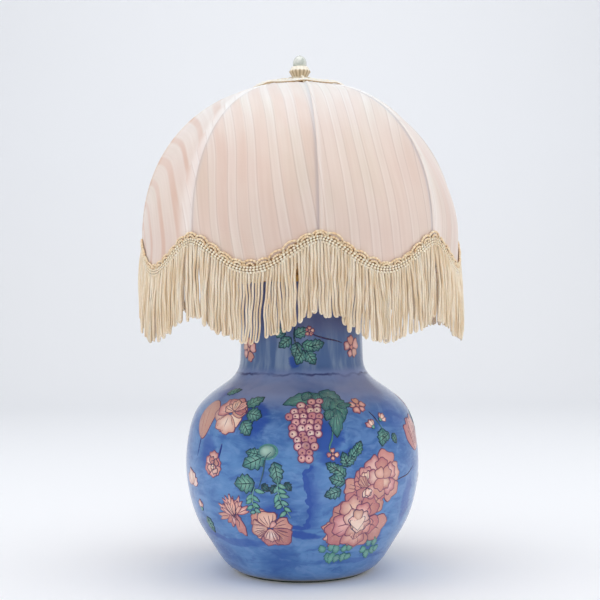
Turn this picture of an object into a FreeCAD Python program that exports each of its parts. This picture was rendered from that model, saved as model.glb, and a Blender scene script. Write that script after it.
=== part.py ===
"""Ceramic table lamp with a domed, fringed fabric shade, built as an assembly of its separate pieces.

The lamp stands on the plane z = 0 with its axis on the Z axis, and the front of the lamp faces -Y.
From the table up it is a felt disc, a thrown vase, the pipe and nuts that clamp its fittings, a brass
cap, the harp with its saddle, the lamp holder with its bulb, and the shade that hangs on the harp's
top under the finial. Every length is in millimetres and every driving size is a cell of the sheet.
"""

import FreeCAD, Part
import bisect
import math
import os
import Sketcher

from FreeCAD import Placement, Rotation, Vector

DRIVING_SIZES = {
    # Vase
    "felt_thickness": 1.6,
    "felt_inset": 1.5,
    "foot_radius": 77.0,
    "foot_ring_width": 9.0,
    "foot_recess": 9.5,
    "belly_radius": 138.6,
    "belly_height": 122.0,
    "neck_radius": 73.0,
    "neck_base_height": 242.0,
    "vase_height": 346.0,
    "vase_wall": 5.5,
    "vase_floor": 6.0,
    "cord_hole_height": 32.0,
    "cord_hole_radius": 6.0,
    "cord_bore_radius": 3.6,
    "bushing_flange": 2.4,
    "bushing_lip": 2.2,
    "seat_gap": 0.2,
    # Pipe and clamping hardware
    "pipe_radius": 4.85,
    "pipe_bore_radius": 3.3,
    "pipe_clearance": 0.25,
    "rubber_washer_radius": 24.0,
    "rubber_washer_thickness": 2.0,
    "steel_washer_radius": 20.0,
    "steel_washer_thickness": 1.6,
    "nut_across_flats": 17.0,
    "bottom_nut_height": 4.4,
    "saddle_nut_height": 3.0,
    "pipe_end_gap": 0.5,
    # Cap on the vase's mouth and the spindle above it
    "gasket_thickness": 1.5,
    "cap_overhang": 4.0,
    "cap_sheet": 1.2,
    "cap_rise": 9.0,
    "cap_flat_radius": 16.0,
    "cap_skirt": 5.0,
    "cap_skirt_gap": 1.0,
    "spindle_height": 19.0,
    "spindle_radius": 10.0,
    "spindle_waist_radius": 7.4,
    # Harp
    "saddle_sheet": 2.4,
    "saddle_width": 14.0,
    "saddle_half_span": 24.0,
    "saddle_arm_height": 14.0,
    "saddle_tab_width": 4.0,
    "harp_wire_radius": 2.2,
    "harp_half_width": 56.0,
    "harp_height": 208.0,
    "harp_widest_height": 104.0,
    "harp_leg_straight": 30.0,
    "harp_seat_radius": 11.0,
    "harp_seat_thickness": 2.2,
    "harp_stud_radius": 3.1,
    "harp_stud_length": 12.0,
    "sleeve_wall": 1.0,
    "sleeve_clearance": 0.3,
    "sleeve_height": 14.0,
    # Lamp holder
    "holder_radius": 17.0,
    "holder_sheet": 0.6,
    "holder_cap_height": 18.0,
    "holder_dome_height": 8.6,
    "holder_collar_wall": 2.4,
    "holder_overlap": 3.0,
    "holder_height": 66.0,
    "liner_wall": 0.8,
    "holder_gap": 0.3,
    "insert_height": 20.0,
    "insert_rise": 8.0,
    "contact_shell_radius": 13.9,
    "contact_shell_wall": 0.4,
    "contact_shell_height": 26.0,
    "contact_width": 5.0,
    "contact_rise": 3.4,
    "terminal_radius": 2.6,
    "terminal_length": 3.6,
    "switch_shaft_radius": 1.8,
    "switch_shaft_gap": 0.3,
    "switch_shaft_reach": 27.0,
    "knob_radius": 6.0,
    "knob_length": 12.0,
    "knob_flute_radius": 1.0,
    "knob_standoff": 4.0,
    # Bulb
    "bulb_radius": 30.0,
    "bulb_glass": 0.8,
    "bulb_length": 110.0,
    "bulb_base_radius": 13.1,
    "bulb_base_wall": 0.35,
    "bulb_base_height": 23.0,
    "bulb_button_radius": 4.6,
    "bulb_button_height": 1.6,
    "bulb_seat_radius": 9.5,
    "bulb_seat_height": 3.2,
    "bulb_stem_radius": 4.0,
    "bulb_stem_height": 44.0,
    "filament_radius": 0.35,
    "filament_half_span": 12.0,
    # Shade frame
    "shade_radius": 187.5,
    "shade_spring_drop": 190.1,
    "shade_crown_under_hub": 6.1,
    "shade_ring_radius": 52.0,
    "rib_end_drop": 10.0,
    "hem_rise": 4.0,
    "shade_scallop_depth": 32.4,
    "shade_tuck": 1.5,
    "ring_wire_radius": 1.6,
    "rib_wire_radius": 1.3,
    "hem_wire_radius": 1.2,
    "frame_gap": 0.3,
    "hub_radius": 15.0,
    "hub_thickness": 2.0,
    "hub_rest_gap": 0.2,
    "hub_hole_gap": 0.5,
    "spider_wire_radius": 1.5,
    # Shade fabric and trimming
    "gore_thickness": 1.0,
    "lining_thickness": 0.6,
    "braid_width": 14.0,
    "braid_thickness": 2.6,
    "crown_braid_width": 10.0,
    "fringe_length": 73.0,
    "fringe_thickness": 3.2,
    "fringe_flare": 4.5,
    "braid_gap": 0.7,
    # Finial
    "finial_cup_height": 13.4,
    "finial_cup_foot_radius": 8.2,
    "finial_cup_radius": 13.0,
    "finial_cup_neck_radius": 10.0,
    "finial_dome_radius": 8.2,
    "finial_dome_height": 14.5,
    "finial_bore_depth": 11.5,
    "finial_flute_radius": 0.9,
    "finial_insert_radius": 4.6,
    "finial_insert_height": 8.0,
    "finial_thread_gap": 0.3,
    # Shared by every cut
    "overrun": 5.0,
}

GORES = 8
SHADE_TURN = 6.0
SHADE_EXPONENT = 2.2
HEM_WAVE_POWER = 0.8
TAUT_POWER = 2.0
PATH_STEPS = 60
GORE_ROWS = 14
GORE_COLUMNS = 8
BAND_STEPS = 12
RIB_STEPS = 8
WAVE_STEPS = 8
KNOB_FLUTES = 14
FINIAL_FLUTES = 16
SPIDER_ARMS = 4

# Outline of the vase as shares of the step from foot to belly, and of the step from belly to neck
LOWER_WALL_SHARES = ((0.219, 0.066), (0.503, 0.267), (0.760, 0.485), (0.928, 0.735))
SHOULDER_SHARES = ((0.062, 0.375), (0.228, 0.604), (0.447, 0.727), (0.673, 0.816), (0.885, 0.901))
NECK_SHARES = ((0.16, 0.004), (0.50, -0.006), (0.82, -0.002))
NECK_FOOT_FLARE_SHARE = 0.031
BOW = "bow"
BUSHING_SLACK_SHARE = 0.3
CROWN_TUCK_SHARE = 0.2
FINIAL_WIDE_SHARE = 0.57
DOME_FOOT_SHARE = 0.8
DOME_LOW_SHARE = 0.15
DOME_BOW_SHARES = (0.8, 0.7)
CAP_BOW_SHARES = (0.55, 0.66)
HOLDER_DOME_SHARES = (0.75, 0.3)
CONTACT_FOOT_SHARE = 1.5
FILAMENT_TOP_SHARE = 1.6
BRAID_LAP_SHARE = 0.33
BAND_SHARES = (0.0, 0.02, 0.34, 0.66, 0.98, 1.0)
BULB_SHARES = ((0, 0), (0.015, 0.1), (0.27, 0.26), (0.76, 0.5), (1, 0.7), (0.775, 0.88), (0.08, 0.975))

doc = FreeCAD.newDocument("TableLamp")
sheet = doc.addObject("Spreadsheet::Sheet", "Sizes")


class Size:
    """A length with its value and the sheet expression that gives it, so that sums keep both."""

    def __init__(self, value, text):
        self.value = float(value)
        self.text = text

    def join(self, other, value, sign, flipped=False):
        """The sum, difference, product or quotient with another length or number."""
        texts = [self.text, other.text if isinstance(other, Size) else repr(float(other))]
        if flipped:
            texts.reverse()
        return Size(value, f"({texts[0]} {sign} {texts[1]})")

    def __float__(self):
        return self.value

    def __add__(self, other):
        return self.join(other, self.value + float(other), "+")

    def __radd__(self, other):
        return self.join(other, float(other) + self.value, "+", True)

    def __sub__(self, other):
        return self.join(other, self.value - float(other), "-")

    def __rsub__(self, other):
        return self.join(other, float(other) - self.value, "-", True)

    def __mul__(self, other):
        return self.join(other, self.value * float(other), "*")

    def __rmul__(self, other):
        return self.join(other, float(other) * self.value, "*", True)

    def __truediv__(self, other):
        return self.join(other, self.value / float(other), "/")

    def __neg__(self):
        return self * -1.0


class Sizes:
    """Holds every driving size as an attribute."""


def fill_sheet():
    """Writes the driving sizes to the sheet and returns them as lengths that know their cell."""
    held = Sizes()
    for row, (alias, number) in enumerate(DRIVING_SIZES.items(), start=1):
        sheet.set(f"A{row}", alias.replace("_", " "))
        sheet.set(f"B{row}", str(number))
        sheet.setAlias(f"B{row}", alias)
        setattr(held, alias, Size(number, f"Sizes.{alias}"))
    doc.recompute()
    return held


s = fill_sheet()
sub_parts = []


def bind(item, prop, length):
    """Binds a property of an object to the length's expression, or sets a plain number."""
    if isinstance(length, Size):
        item.setExpression(prop, length.text)
    else:
        setattr(item, prop, length)


def new_body(label):
    """A part design body that is exported under its label."""
    body = doc.addObject("PartDesign::Body", label.title().replace("_", ""))
    body.Label = label
    sub_parts.append(body)
    return body


def new_shape(label, shape):
    """A sub-part whose shape no sketch or primitive gives."""
    item = doc.addObject("Part::Feature", label.title().replace("_", ""))
    item.Label = label
    item.Shape = shape
    sub_parts.append(item)
    return item


def origin_plane(body, role):
    """One of the body's own origin planes."""
    return next(item for item in body.Origin.OriginFeatures if item.Role == role)


def new_sketch(body, role, name, offset=None):
    """A sketch on one of the body's origin planes, moved along the plane's normal by an offset."""
    sketch = body.newObject("Sketcher::SketchObject", name)
    sketch.AttachmentSupport = [(origin_plane(body, role), "")]
    sketch.MapMode = "FlatFace"
    if offset is not None:
        sketch.setExpression("AttachmentOffset.Base.z", offset.text)
        sketch.AttachmentOffset = Placement(Vector(0, 0, float(offset)), Rotation())
    return sketch


def pin_point(sketch, piece, end, point):
    """Holds one point of a sketch piece at a place given by two lengths."""
    for length, kind, axis in ((point[0], "DistanceX", -2), (point[1], "DistanceY", -1)):
        if abs(float(length)) < 1e-9:
            sketch.addConstraint(Sketcher.Constraint("PointOnObject", piece, end, axis))
            continue
        row = sketch.addConstraint(Sketcher.Constraint(kind, -1, 1, piece, end, float(length)))
        if isinstance(length, Size):
            sketch.setExpression(f"Constraints[{row}]", length.text)


def flat(point):
    """A sketch place as a vector."""
    return Vector(float(point[0]), float(point[1]), 0)


def draw_outline(sketch, steps):
    """Draws a closed outline. A step is a place, or two places for an arc: its middle and its end.

    A third item, BOW, asks for a smooth curve, for a shallow arch whose centre would lie past the axis.
    Arcs and bows are held as drawn, and the straight pieces beside them carry the sizes.
    """
    curved = [isinstance(step[0], tuple) for step in steps]
    ends = [step[1] if bent else step for step, bent in zip(steps, curved)]
    for k, step in enumerate(steps):
        start = flat(ends[k - 1])
        if not curved[k]:
            curve = Part.LineSegment(start, flat(step))
        elif len(step) == 3:
            curve = spline([ends[k - 1], step[0], step[1]])
        else:
            curve = Part.Arc(start, flat(step[0]), flat(step[1]))
        sketch.addGeometry(curve, False)
    for k in range(len(steps)):
        after = (k + 1) % len(steps)
        if curved[k]:
            sketch.addConstraint(Sketcher.Constraint("Block", k))
            pin_point(sketch, after, 1, ends[k])
            continue
        pin_point(sketch, k, 2, ends[k])
        if not curved[after]:
            sketch.addConstraint(Sketcher.Constraint("Coincident", k, 2, after, 1))


def draw_circle(sketch, x, y, radius):
    """Draws a circle whose centre and radius follow the sheet."""
    circle = Part.Circle(flat((x, y)), Vector(0, 0, 1), float(radius))
    piece = sketch.addGeometry(circle, False)
    pin_point(sketch, piece, 3, (x, y))
    row = sketch.addConstraint(Sketcher.Constraint("Radius", piece, float(radius)))
    sketch.setExpression(f"Constraints[{row}]", radius.text)


def revolve(body, sketch):
    """Turns the sketch once round the Z axis."""
    turned = body.newObject("PartDesign::Revolution", "Revolution")
    turned.Profile = sketch
    turned.ReferenceAxis = (sketch, ["V_Axis"])
    turned.Angle = 360
    sketch.Visibility = False
    doc.recompute()
    return turned


def pad(body, sketch, length, midplane=False):
    """Gives the sketch a thickness along its plane's normal."""
    item = body.newObject("PartDesign::Pad", "Pad")
    item.Profile = sketch
    item.Midplane = midplane
    bind(item, "Length", length)
    doc.recompute()
    return item


def cut_through(body, sketch, length, midplane=True, flipped=False):
    """Cuts the sketch's outline through the body, and stops if nothing was cut."""
    before = body.Shape.Volume
    item = body.newObject("PartDesign::Pocket", "Pocket")
    item.Profile = sketch
    item.Midplane = midplane
    item.Reversed = flipped
    bind(item, "Length", length)
    doc.recompute()
    if not item.Shape.Volume < before:
        raise ValueError(f"the cut in {body.Label} removed nothing")
    return item


def turned_piece(label, steps):
    """A body turned on the lamp's axis from a closed outline of radius and height."""
    body = new_body(label)
    sketch = new_sketch(body, "XZ_Plane", "Outline")
    draw_outline(sketch, steps)
    revolve(body, sketch)
    return body


def ring_steps(inner, outer, low, high):
    """Outline of a plain ring or disc."""
    return [(inner, low), (outer, low), (outer, high), (inner, high)]


def lift(body, height):
    """Moves a body up to its height on the lamp."""
    body.setExpression("Placement.Base.z", height.text)
    body.Placement = Placement(Vector(0, 0, float(height)), body.Placement.Rotation)


def between(low, high, share):
    """The length at a share of the step from one length to another."""
    return low + (high - low) * share


# Heights of the stack, from the table up
FOOT_Z = s.felt_thickness
RECESS_Z = FOOT_Z + s.foot_recess
FLOOR_Z = RECESS_Z + s.vase_floor
GASKET_TOP = s.vase_height + s.seat_gap + s.gasket_thickness
CAP_TOP = GASKET_TOP + s.cap_rise + s.cap_sheet
SPINDLE_TOP = CAP_TOP + s.spindle_height
SADDLE_TOP = SPINDLE_TOP + s.saddle_sheet
HOLDER_Z = SADDLE_TOP + s.saddle_nut_height
HOLDER_TOP = HOLDER_Z + s.holder_height
INSERT_Z = HOLDER_Z + s.insert_rise
INSERT_TOP = INSERT_Z + s.insert_height
PIPE_TOP = INSERT_Z - s.pipe_end_gap
SWITCH_Z = INSERT_TOP - s.insert_rise / 2
BULB_Z = INSERT_TOP + s.contact_rise + s.holder_gap
SEAT_TOP = SPINDLE_TOP + s.harp_height
HUB_Z = SEAT_TOP + s.hub_rest_gap
HUB_TOP = HUB_Z + s.hub_thickness
SPRING_Z = HUB_Z - s.shade_spring_drop
CROWN_RISE = s.shade_spring_drop - s.shade_crown_under_hub
HEM_Z = SPRING_Z - s.rib_end_drop + s.hem_rise
FINIAL_Z = HUB_TOP + s.hub_rest_gap
FINIAL_CUP_TOP = FINIAL_Z + s.finial_cup_height
PIPE_HOLE = s.pipe_radius + s.pipe_clearance
HALF_GORE = math.pi / GORES


def spline(points):
    """A smooth curve through sketch places."""
    curve = Part.BSplineCurve()
    curve.interpolate([flat(point) for point in points])
    return curve


def offset_points(curve, count, wall):
    """Places at the wall's thickness inside a smooth curve, evenly spread along it."""
    first, last = curve.FirstParameter, curve.LastParameter
    places = []
    for k in range(count):
        u = first + (last - first) * k / (count - 1)
        along = curve.tangent(u)[0]
        inward = Vector(-along.y, along.x, 0)
        places.append(curve.value(u) + inward * float(wall))
    return places


def vase_wall_points():
    """Places on the outside of the vase from the foot to the lip."""
    foot, belly = (s.foot_radius, FOOT_Z), (s.belly_radius, s.belly_height)
    flare = s.neck_radius * NECK_FOOT_FLARE_SHARE
    neck = (s.neck_radius + flare, s.neck_base_height)
    lip_z = s.vase_height - s.vase_wall / 2
    points = [foot]
    points += [(between(foot[0], belly[0], a), between(foot[1], belly[1], b)) for a, b in LOWER_WALL_SHARES]
    points += [belly]
    points += [(between(belly[0], neck[0], a), between(belly[1], neck[1], b)) for a, b in SHOULDER_SHARES]
    points += [neck]
    points += [(s.neck_radius + s.neck_radius * b, between(neck[1], lip_z, a)) for a, b in NECK_SHARES]
    points += [(s.neck_radius, lip_z)]
    return points


def make_vase():
    """The thrown vase: one wall from foot ring to lip, a recessed foot, and the cord's hole at the back."""
    body = new_body("vase")
    sketch = new_sketch(body, "XZ_Plane", "WallOutline")
    outer = spline(vase_wall_points())
    wall = offset_points(outer, 2 * len(vase_wall_points()), s.vase_wall)
    inside = [p for p in wall if p.y > float(FLOOR_Z)]
    slope = (inside[1].x - inside[0].x) / (inside[1].y - inside[0].y)
    corner = Vector(inside[0].x - slope * (inside[0].y - float(FLOOR_Z)), float(FLOOR_Z), 0)
    inner = spline([(p.x, p.y) for p in [corner] + inside])
    foot_inner = s.foot_radius - s.foot_ring_width
    foot_steps = [(PIPE_HOLE, FLOOR_Z), (PIPE_HOLE, RECESS_Z), (foot_inner, RECESS_Z), (foot_inner, FOOT_Z)]
    foot_steps += [(s.foot_radius, FOOT_Z)]
    lip_middle = (outer.EndPoint + inner.EndPoint) / 2 + Vector(0, float(s.vase_wall) / 2, 0)
    sketch.addGeometry(Part.LineSegment(corner, flat(foot_steps[0])), False)
    for start, end in zip(foot_steps, foot_steps[1:]):
        sketch.addGeometry(Part.LineSegment(flat(start), flat(end)), False)
    for k, place in enumerate(foot_steps):
        pin_point(sketch, k, 2, place)
        if k < len(foot_steps) - 1:
            sketch.addConstraint(Sketcher.Constraint("Coincident", k, 2, k + 1, 1))
    sketch.addGeometry(outer, False)
    sketch.addGeometry(Part.Arc(outer.EndPoint, lip_middle, inner.EndPoint), False)
    sketch.addGeometry(inner, False)
    revolve(body, sketch)
    place, out = wall_place(outer, s.cord_hole_height)
    hole = new_sketch(body, "XZ_Plane", "CordHole")
    tilt = Rotation(Vector(1, 0, 0), math.degrees(math.asin(out.z)))
    hole.AttachmentOffset = Placement(Vector(0, place.z, -place.y), tilt)
    draw_circle(hole, 0, 0, s.cord_hole_radius)
    cut_through(body, hole, (s.vase_wall + s.overrun) * 2)
    return outer


def wall_place(curve, height):
    """The place on the back of the wall at a height, found by halving, and the wall's outward normal."""
    low, high = curve.FirstParameter, curve.LastParameter
    for _ in range(60):
        middle = (low + high) / 2
        if curve.value(middle).y < float(height):
            low = middle
        else:
            high = middle
    point, along = curve.value(low), curve.tangent(low)[0]
    return Vector(0, point.x, point.y), Vector(0, along.y, -along.x)


def make_bushing(outer):
    """The bushing that lines the cord's hole, with a flange outside the wall and a lip inside it."""
    place, out = wall_place(outer, s.cord_hole_height)
    lip, wall = float(s.bushing_lip), float(s.vase_wall)
    reach = float(s.cord_hole_radius + s.bushing_flange)
    inside = -wall - lip * BUSHING_SLACK_SHARE
    outside = float(s.seat_gap)
    length = outside + lip + lip - inside
    body = Part.makeCylinder(float(s.cord_hole_radius), length, Vector(0, 0, inside - lip))
    body = body.fuse(Part.makeCylinder(reach, lip, Vector(0, 0, outside)))
    body = body.fuse(Part.makeCylinder(reach, lip, Vector(0, 0, inside - lip)))
    bore, past = float(s.cord_bore_radius), float(s.overrun)
    body = body.cut(Part.makeCylinder(bore, length + 2 * past, Vector(0, 0, inside - lip - past)))
    piece = new_shape("cord_bushing", body.removeSplitter())
    piece.Placement = Placement(place, Rotation(Vector(0, 0, 1), out))
    mouth = place + out * (outside + lip)
    print("cord inlet at", [round(v, 3) for v in mouth], "axis", [round(v, 5) for v in out])
    print("cord inlet length", round(length, 3))


def hex_nut(label, height, base):
    """A hexagonal nut on the pipe."""
    body = new_body(label)
    sketch = new_sketch(body, "XY_Plane", "Hexagon")
    corner = s.nut_across_flats / math.sqrt(3)
    side = s.nut_across_flats / 2
    half = corner / 2
    upper = [(corner, 0), (half, side), (-half, side)]
    draw_outline(sketch, upper + [(-corner, 0), (-half, -side), (half, -side)])
    draw_circle(sketch, 0, 0, s.pipe_radius)
    pad(body, sketch, height)
    lift(body, base)
    return body


def make_base_hardware():
    """Felt, washers, nuts and the threaded pipe that clamps the lamp together."""
    turned_piece("base_felt", ring_steps(0, s.foot_radius - s.felt_inset, 0, s.felt_thickness))
    rubber_z = RECESS_Z - s.rubber_washer_thickness
    steel_z = rubber_z - s.steel_washer_thickness
    nut_z = steel_z - s.bottom_nut_height
    turned_piece("rubber_washer", ring_steps(PIPE_HOLE, s.rubber_washer_radius, rubber_z, RECESS_Z))
    turned_piece("steel_washer", ring_steps(PIPE_HOLE, s.steel_washer_radius, steel_z, rubber_z))
    hex_nut("bottom_nut", s.bottom_nut_height, nut_z)
    pipe_z = s.felt_thickness + s.pipe_end_gap
    turned_piece("lamp_pipe", ring_steps(s.pipe_bore_radius, s.pipe_radius, pipe_z, PIPE_TOP))


def make_mouth_fittings():
    """Gasket and spun brass cap on the vase's mouth, and the turned spindle on the cap."""
    lip_inner = s.neck_radius - s.vase_wall
    gasket_z = s.vase_height + s.seat_gap
    turned_piece("mouth_gasket", ring_steps(lip_inner, s.neck_radius, gasket_z, GASKET_TOP))
    rim = s.neck_radius + s.cap_overhang
    skirt_z = GASKET_TOP - s.cap_skirt
    bead = s.neck_radius + s.cap_skirt_gap
    top_under = GASKET_TOP + s.cap_rise
    middle = between(s.cap_flat_radius, bead, CAP_BOW_SHARES[0])
    bow = s.cap_rise * CAP_BOW_SHARES[1]
    cap_steps = [
        (PIPE_HOLE, top_under),
        (s.cap_flat_radius, top_under),
        ((middle, GASKET_TOP + bow), (bead, GASKET_TOP), BOW),
        (bead, skirt_z),
        (rim, skirt_z),
        (rim, GASKET_TOP + s.cap_sheet),
        ((middle + s.cap_sheet, GASKET_TOP + bow + s.cap_sheet), (s.cap_flat_radius, CAP_TOP), BOW),
        (PIPE_HOLE, CAP_TOP),
    ]
    turned_piece("vase_cap", cap_steps)
    waist_z = (CAP_TOP + SPINDLE_TOP) / 2
    spindle_steps = [
        (PIPE_HOLE, CAP_TOP),
        (s.spindle_radius, CAP_TOP),
        ((s.spindle_waist_radius, waist_z), (s.spindle_radius, SPINDLE_TOP)),
        (PIPE_HOLE, SPINDLE_TOP),
    ]
    turned_piece("brass_spindle", spindle_steps)


def biarc(start, along, end, along_end):
    """Two arcs that join two points with the tangents given there."""
    step = end - start
    both = along + along_end
    spread = 2 * (1 - along.dot(along_end))
    if spread < 1e-9 and (step - along * step.dot(along)).Length < 1e-6:
        return [Part.LineSegment(start, end).toShape()]
    if spread < 1e-9:
        reach = step.dot(step) / (4 * step.dot(along))
    else:
        reach = (-step.dot(both) + math.sqrt(step.dot(both) ** 2 + spread * step.dot(step))) / spread
    middle = (start + end + (along - along_end) * reach) / 2
    edges = []
    for point, tangent, far, sign in ((start, along, middle, 1), (end, along_end * -1, middle, -1)):
        chord = far - point
        side = chord - tangent * chord.dot(tangent)
        if side.Length < 1e-7:
            edges.append(Part.LineSegment(point, far) if sign > 0 else Part.LineSegment(far, point))
            continue
        side.normalize()
        radius = chord.dot(chord) / (2 * chord.dot(side))
        centre = point + side * radius
        way = (point + far) / 2 - centre
        top = centre + way.normalize() * abs(radius)
        edges.append(Part.Arc(point, top, far) if sign > 0 else Part.Arc(far, top, point))
    return [edge.toShape() for edge in edges]


def wire_rod(points, tangents, radius):
    """A round rod along biarcs through the points."""
    edges = []
    for k in range(len(points) - 1):
        edges += biarc(points[k], tangents[k], points[k + 1], tangents[k + 1])
    path = Part.Wire(edges)
    circle = Part.Wire(Part.Circle(points[0], tangents[0], float(radius)).toShape())
    return path.makePipeShell([circle], True, False)


def make_saddle():
    """The harp's saddle: a strip under the holder whose ends turn up as tabs."""
    body = new_body("harp_saddle")
    sketch = new_sketch(body, "XZ_Plane", "Strip")
    out = s.saddle_half_span + s.saddle_sheet / 2
    into = s.saddle_half_span - s.saddle_sheet / 2
    top = s.saddle_sheet + s.saddle_arm_height
    steps = [(-out, 0), (out, 0), (out, top), (into, top), (into, s.saddle_sheet), (-into, s.saddle_sheet)]
    draw_outline(sketch, steps + [(-into, top), (-out, top)])
    pad(body, sketch, s.saddle_width, midplane=True)
    notch = new_sketch(body, "YZ_Plane", "TabSides")
    half_tab = s.saddle_tab_width / 2
    half_strip = s.saddle_width / 2 + s.overrun
    tab_z = s.saddle_sheet * 2
    for side in (1, -1):
        draw_loose_rectangle(notch, half_tab * side, half_strip * side, tab_z, top + s.overrun)
    cut_through(body, notch, (out + s.overrun) * 2)
    hole = new_sketch(body, "XY_Plane", "PipeHole")
    draw_circle(hole, 0, 0, PIPE_HOLE)
    cut_through(body, hole, (s.saddle_sheet + s.overrun) * 2)
    lift(body, SPINDLE_TOP)
    return body


def draw_loose_rectangle(sketch, x0, x1, y0, y1):
    """Adds one more closed rectangle to a sketch."""
    first = len(sketch.Geometry)
    corners = [(x0, y0), (x1, y0), (x1, y1), (x0, y1)]
    for k in range(4):
        sketch.addGeometry(Part.LineSegment(flat(corners[k]), flat(corners[(k + 1) % 4])), False)
    for k in range(4):
        after = first + (k + 1) % 4
        sketch.addConstraint(Sketcher.Constraint("Coincident", first + k, 2, after, 1))
        pin_point(sketch, first + k, 2, corners[(k + 1) % 4])


def make_harp():
    """The harp's bowed wire, its seat and stud for the shade, and the two sleeves that lock its legs."""
    base = float(SADDLE_TOP + s.saddle_arm_height)
    leg = float(s.saddle_half_span)
    wide = float(s.harp_half_width)
    straight = base + float(s.harp_leg_straight)
    widest = float(SPINDLE_TOP + s.harp_widest_height)
    wire = float(s.harp_wire_radius)
    top = float(SEAT_TOP - s.harp_seat_thickness) - wire
    seat = float(s.harp_seat_radius)
    up, across = Vector(0, 0, 1), Vector(1, 0, 0)
    places = [(-leg, base, up), (-leg, straight, up), (-wide, widest, up), (-seat, top, across)]
    places += [(seat, top, across), (wide, widest, up * -1), (leg, straight, up * -1), (leg, base, up * -1)]
    points = [Vector(x, 0, z) for x, z, _ in places]
    new_shape("harp_bow", wire_rod(points, [along for _, _, along in places], wire))
    seat_z = SEAT_TOP - s.harp_seat_thickness
    turned_piece("harp_seat", ring_steps(s.harp_stud_radius, s.harp_seat_radius, seat_z, SEAT_TOP))
    stud_top = SEAT_TOP + s.harp_stud_length
    turned_piece("harp_stud", ring_steps(0, s.harp_stud_radius, seat_z, stud_top))
    sleeve_inner = s.harp_wire_radius + s.sleeve_clearance
    for label, side in (("left_sleeve", -1), ("right_sleeve", 1)):
        body = new_body(label)
        sketch = new_sketch(body, "XY_Plane", "Rings")
        draw_circle(sketch, 0, 0, sleeve_inner)
        draw_circle(sketch, 0, 0, sleeve_inner + s.sleeve_wall)
        pad(body, sketch, s.sleeve_height)
        body.setExpression("Placement.Base.x", (s.saddle_half_span * side).text)
        height = SADDLE_TOP + s.saddle_arm_height - s.sleeve_height / 2
        body.Placement = Placement(Vector(side * leg, 0, float(height)), Rotation())
        body.setExpression("Placement.Base.z", height.text)


def make_holder():
    """The lamp holder: cap, shell, liner, insert, contacts, screws and the switch with its knob."""
    sheet_in = s.holder_radius - s.holder_sheet
    cap_top = HOLDER_Z + s.holder_cap_height
    collar = s.pipe_radius + s.holder_collar_wall
    shoulder = between(collar, s.holder_radius, HOLDER_DOME_SHARES[0])
    shoulder_z = HOLDER_Z + s.holder_dome_height * HOLDER_DOME_SHARES[1]
    dome_z = HOLDER_Z + s.holder_dome_height
    under = HOLDER_Z + s.holder_sheet
    cap_steps = [
        (s.pipe_radius, HOLDER_Z),
        (collar, HOLDER_Z),
        ((shoulder, shoulder_z), (s.holder_radius, dome_z), BOW),
        (s.holder_radius, cap_top),
        (sheet_in, cap_top),
        (sheet_in, dome_z),
        ((shoulder - s.holder_sheet, shoulder_z + s.holder_sheet), (collar - s.holder_sheet, under), BOW),
        (s.pipe_radius, under),
    ]
    turned_piece("holder_cap", cap_steps)
    shell_out = sheet_in - s.holder_gap
    shell_in = shell_out - s.holder_sheet
    shell_z = cap_top - s.holder_overlap
    flare = s.holder_sheet * 2
    shell_steps = [
        (shell_in, shell_z),
        (shell_out, shell_z),
        (shell_out, cap_top + s.holder_gap),
        (s.holder_radius, cap_top + s.holder_gap),
        (s.holder_radius, HOLDER_TOP - flare),
        (s.holder_radius + s.holder_sheet, HOLDER_TOP),
        (s.holder_radius, HOLDER_TOP),
        (s.holder_radius - s.holder_sheet, HOLDER_TOP - flare),
        (s.holder_radius - s.holder_sheet, cap_top + flare),
        (shell_in, cap_top + flare),
    ]
    shell = turned_piece("holder_shell", shell_steps)
    cut_shaft_hole(shell, s.holder_radius)
    liner_out = shell_in - s.holder_gap
    liner_in = liner_out - s.liner_wall
    liner = turned_piece("paper_liner", ring_steps(liner_in, liner_out, INSERT_Z, HOLDER_TOP - flare))
    cut_shaft_hole(liner, s.holder_radius)


def cut_shaft_hole(body, reach):
    """Bores the switch shaft's hole from the axis out through the front of a piece."""
    bore = new_sketch(body, "XZ_Plane", "ShaftBore")
    draw_circle(bore, 0, SWITCH_Z, s.switch_shaft_radius + s.switch_shaft_gap)
    cut_through(body, bore, reach + s.overrun, midplane=False, flipped=True)


def make_holder_inside():
    """What the lamp holder holds: the insert, the threaded shell, the centre spring and the wire screws."""
    insert_radius = s.contact_shell_radius
    body = turned_piece("holder_insert", ring_steps(0, insert_radius, INSERT_Z, INSERT_TOP))
    cut_shaft_hole(body, insert_radius)
    shell_in = s.contact_shell_radius - s.contact_shell_wall
    shell_top = INSERT_TOP + s.contact_shell_height
    turned_piece("contact_shell", ring_steps(shell_in, s.contact_shell_radius, INSERT_TOP, shell_top))
    body = new_body("centre_contact")
    sketch = new_sketch(body, "XZ_Plane", "Strip")
    sheet_metal, rise, wide = s.holder_sheet, INSERT_TOP + s.contact_rise, s.contact_width
    foot = wide * CONTACT_FOOT_SHARE
    steps = [(-foot, INSERT_TOP), (-wide, INSERT_TOP), (-wide / 2, rise - sheet_metal)]
    steps += [(wide / 2, rise - sheet_metal), (wide / 2, rise), (-wide / 2, rise)]
    steps += [(-wide, INSERT_TOP + sheet_metal), (-foot, INSERT_TOP + sheet_metal)]
    draw_outline(sketch, steps)
    pad(body, sketch, s.contact_width, midplane=True)
    out = (s.contact_shell_radius + s.pipe_radius) / 2
    screws = []
    for side in (-1, 1):
        base = Vector(side * float(out), 0, float(INSERT_Z - s.terminal_length))
        screws.append(Part.makeCylinder(float(s.terminal_radius), float(s.terminal_length), base))
    new_shape("terminal_screws", Part.makeCompound(screws))


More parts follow.
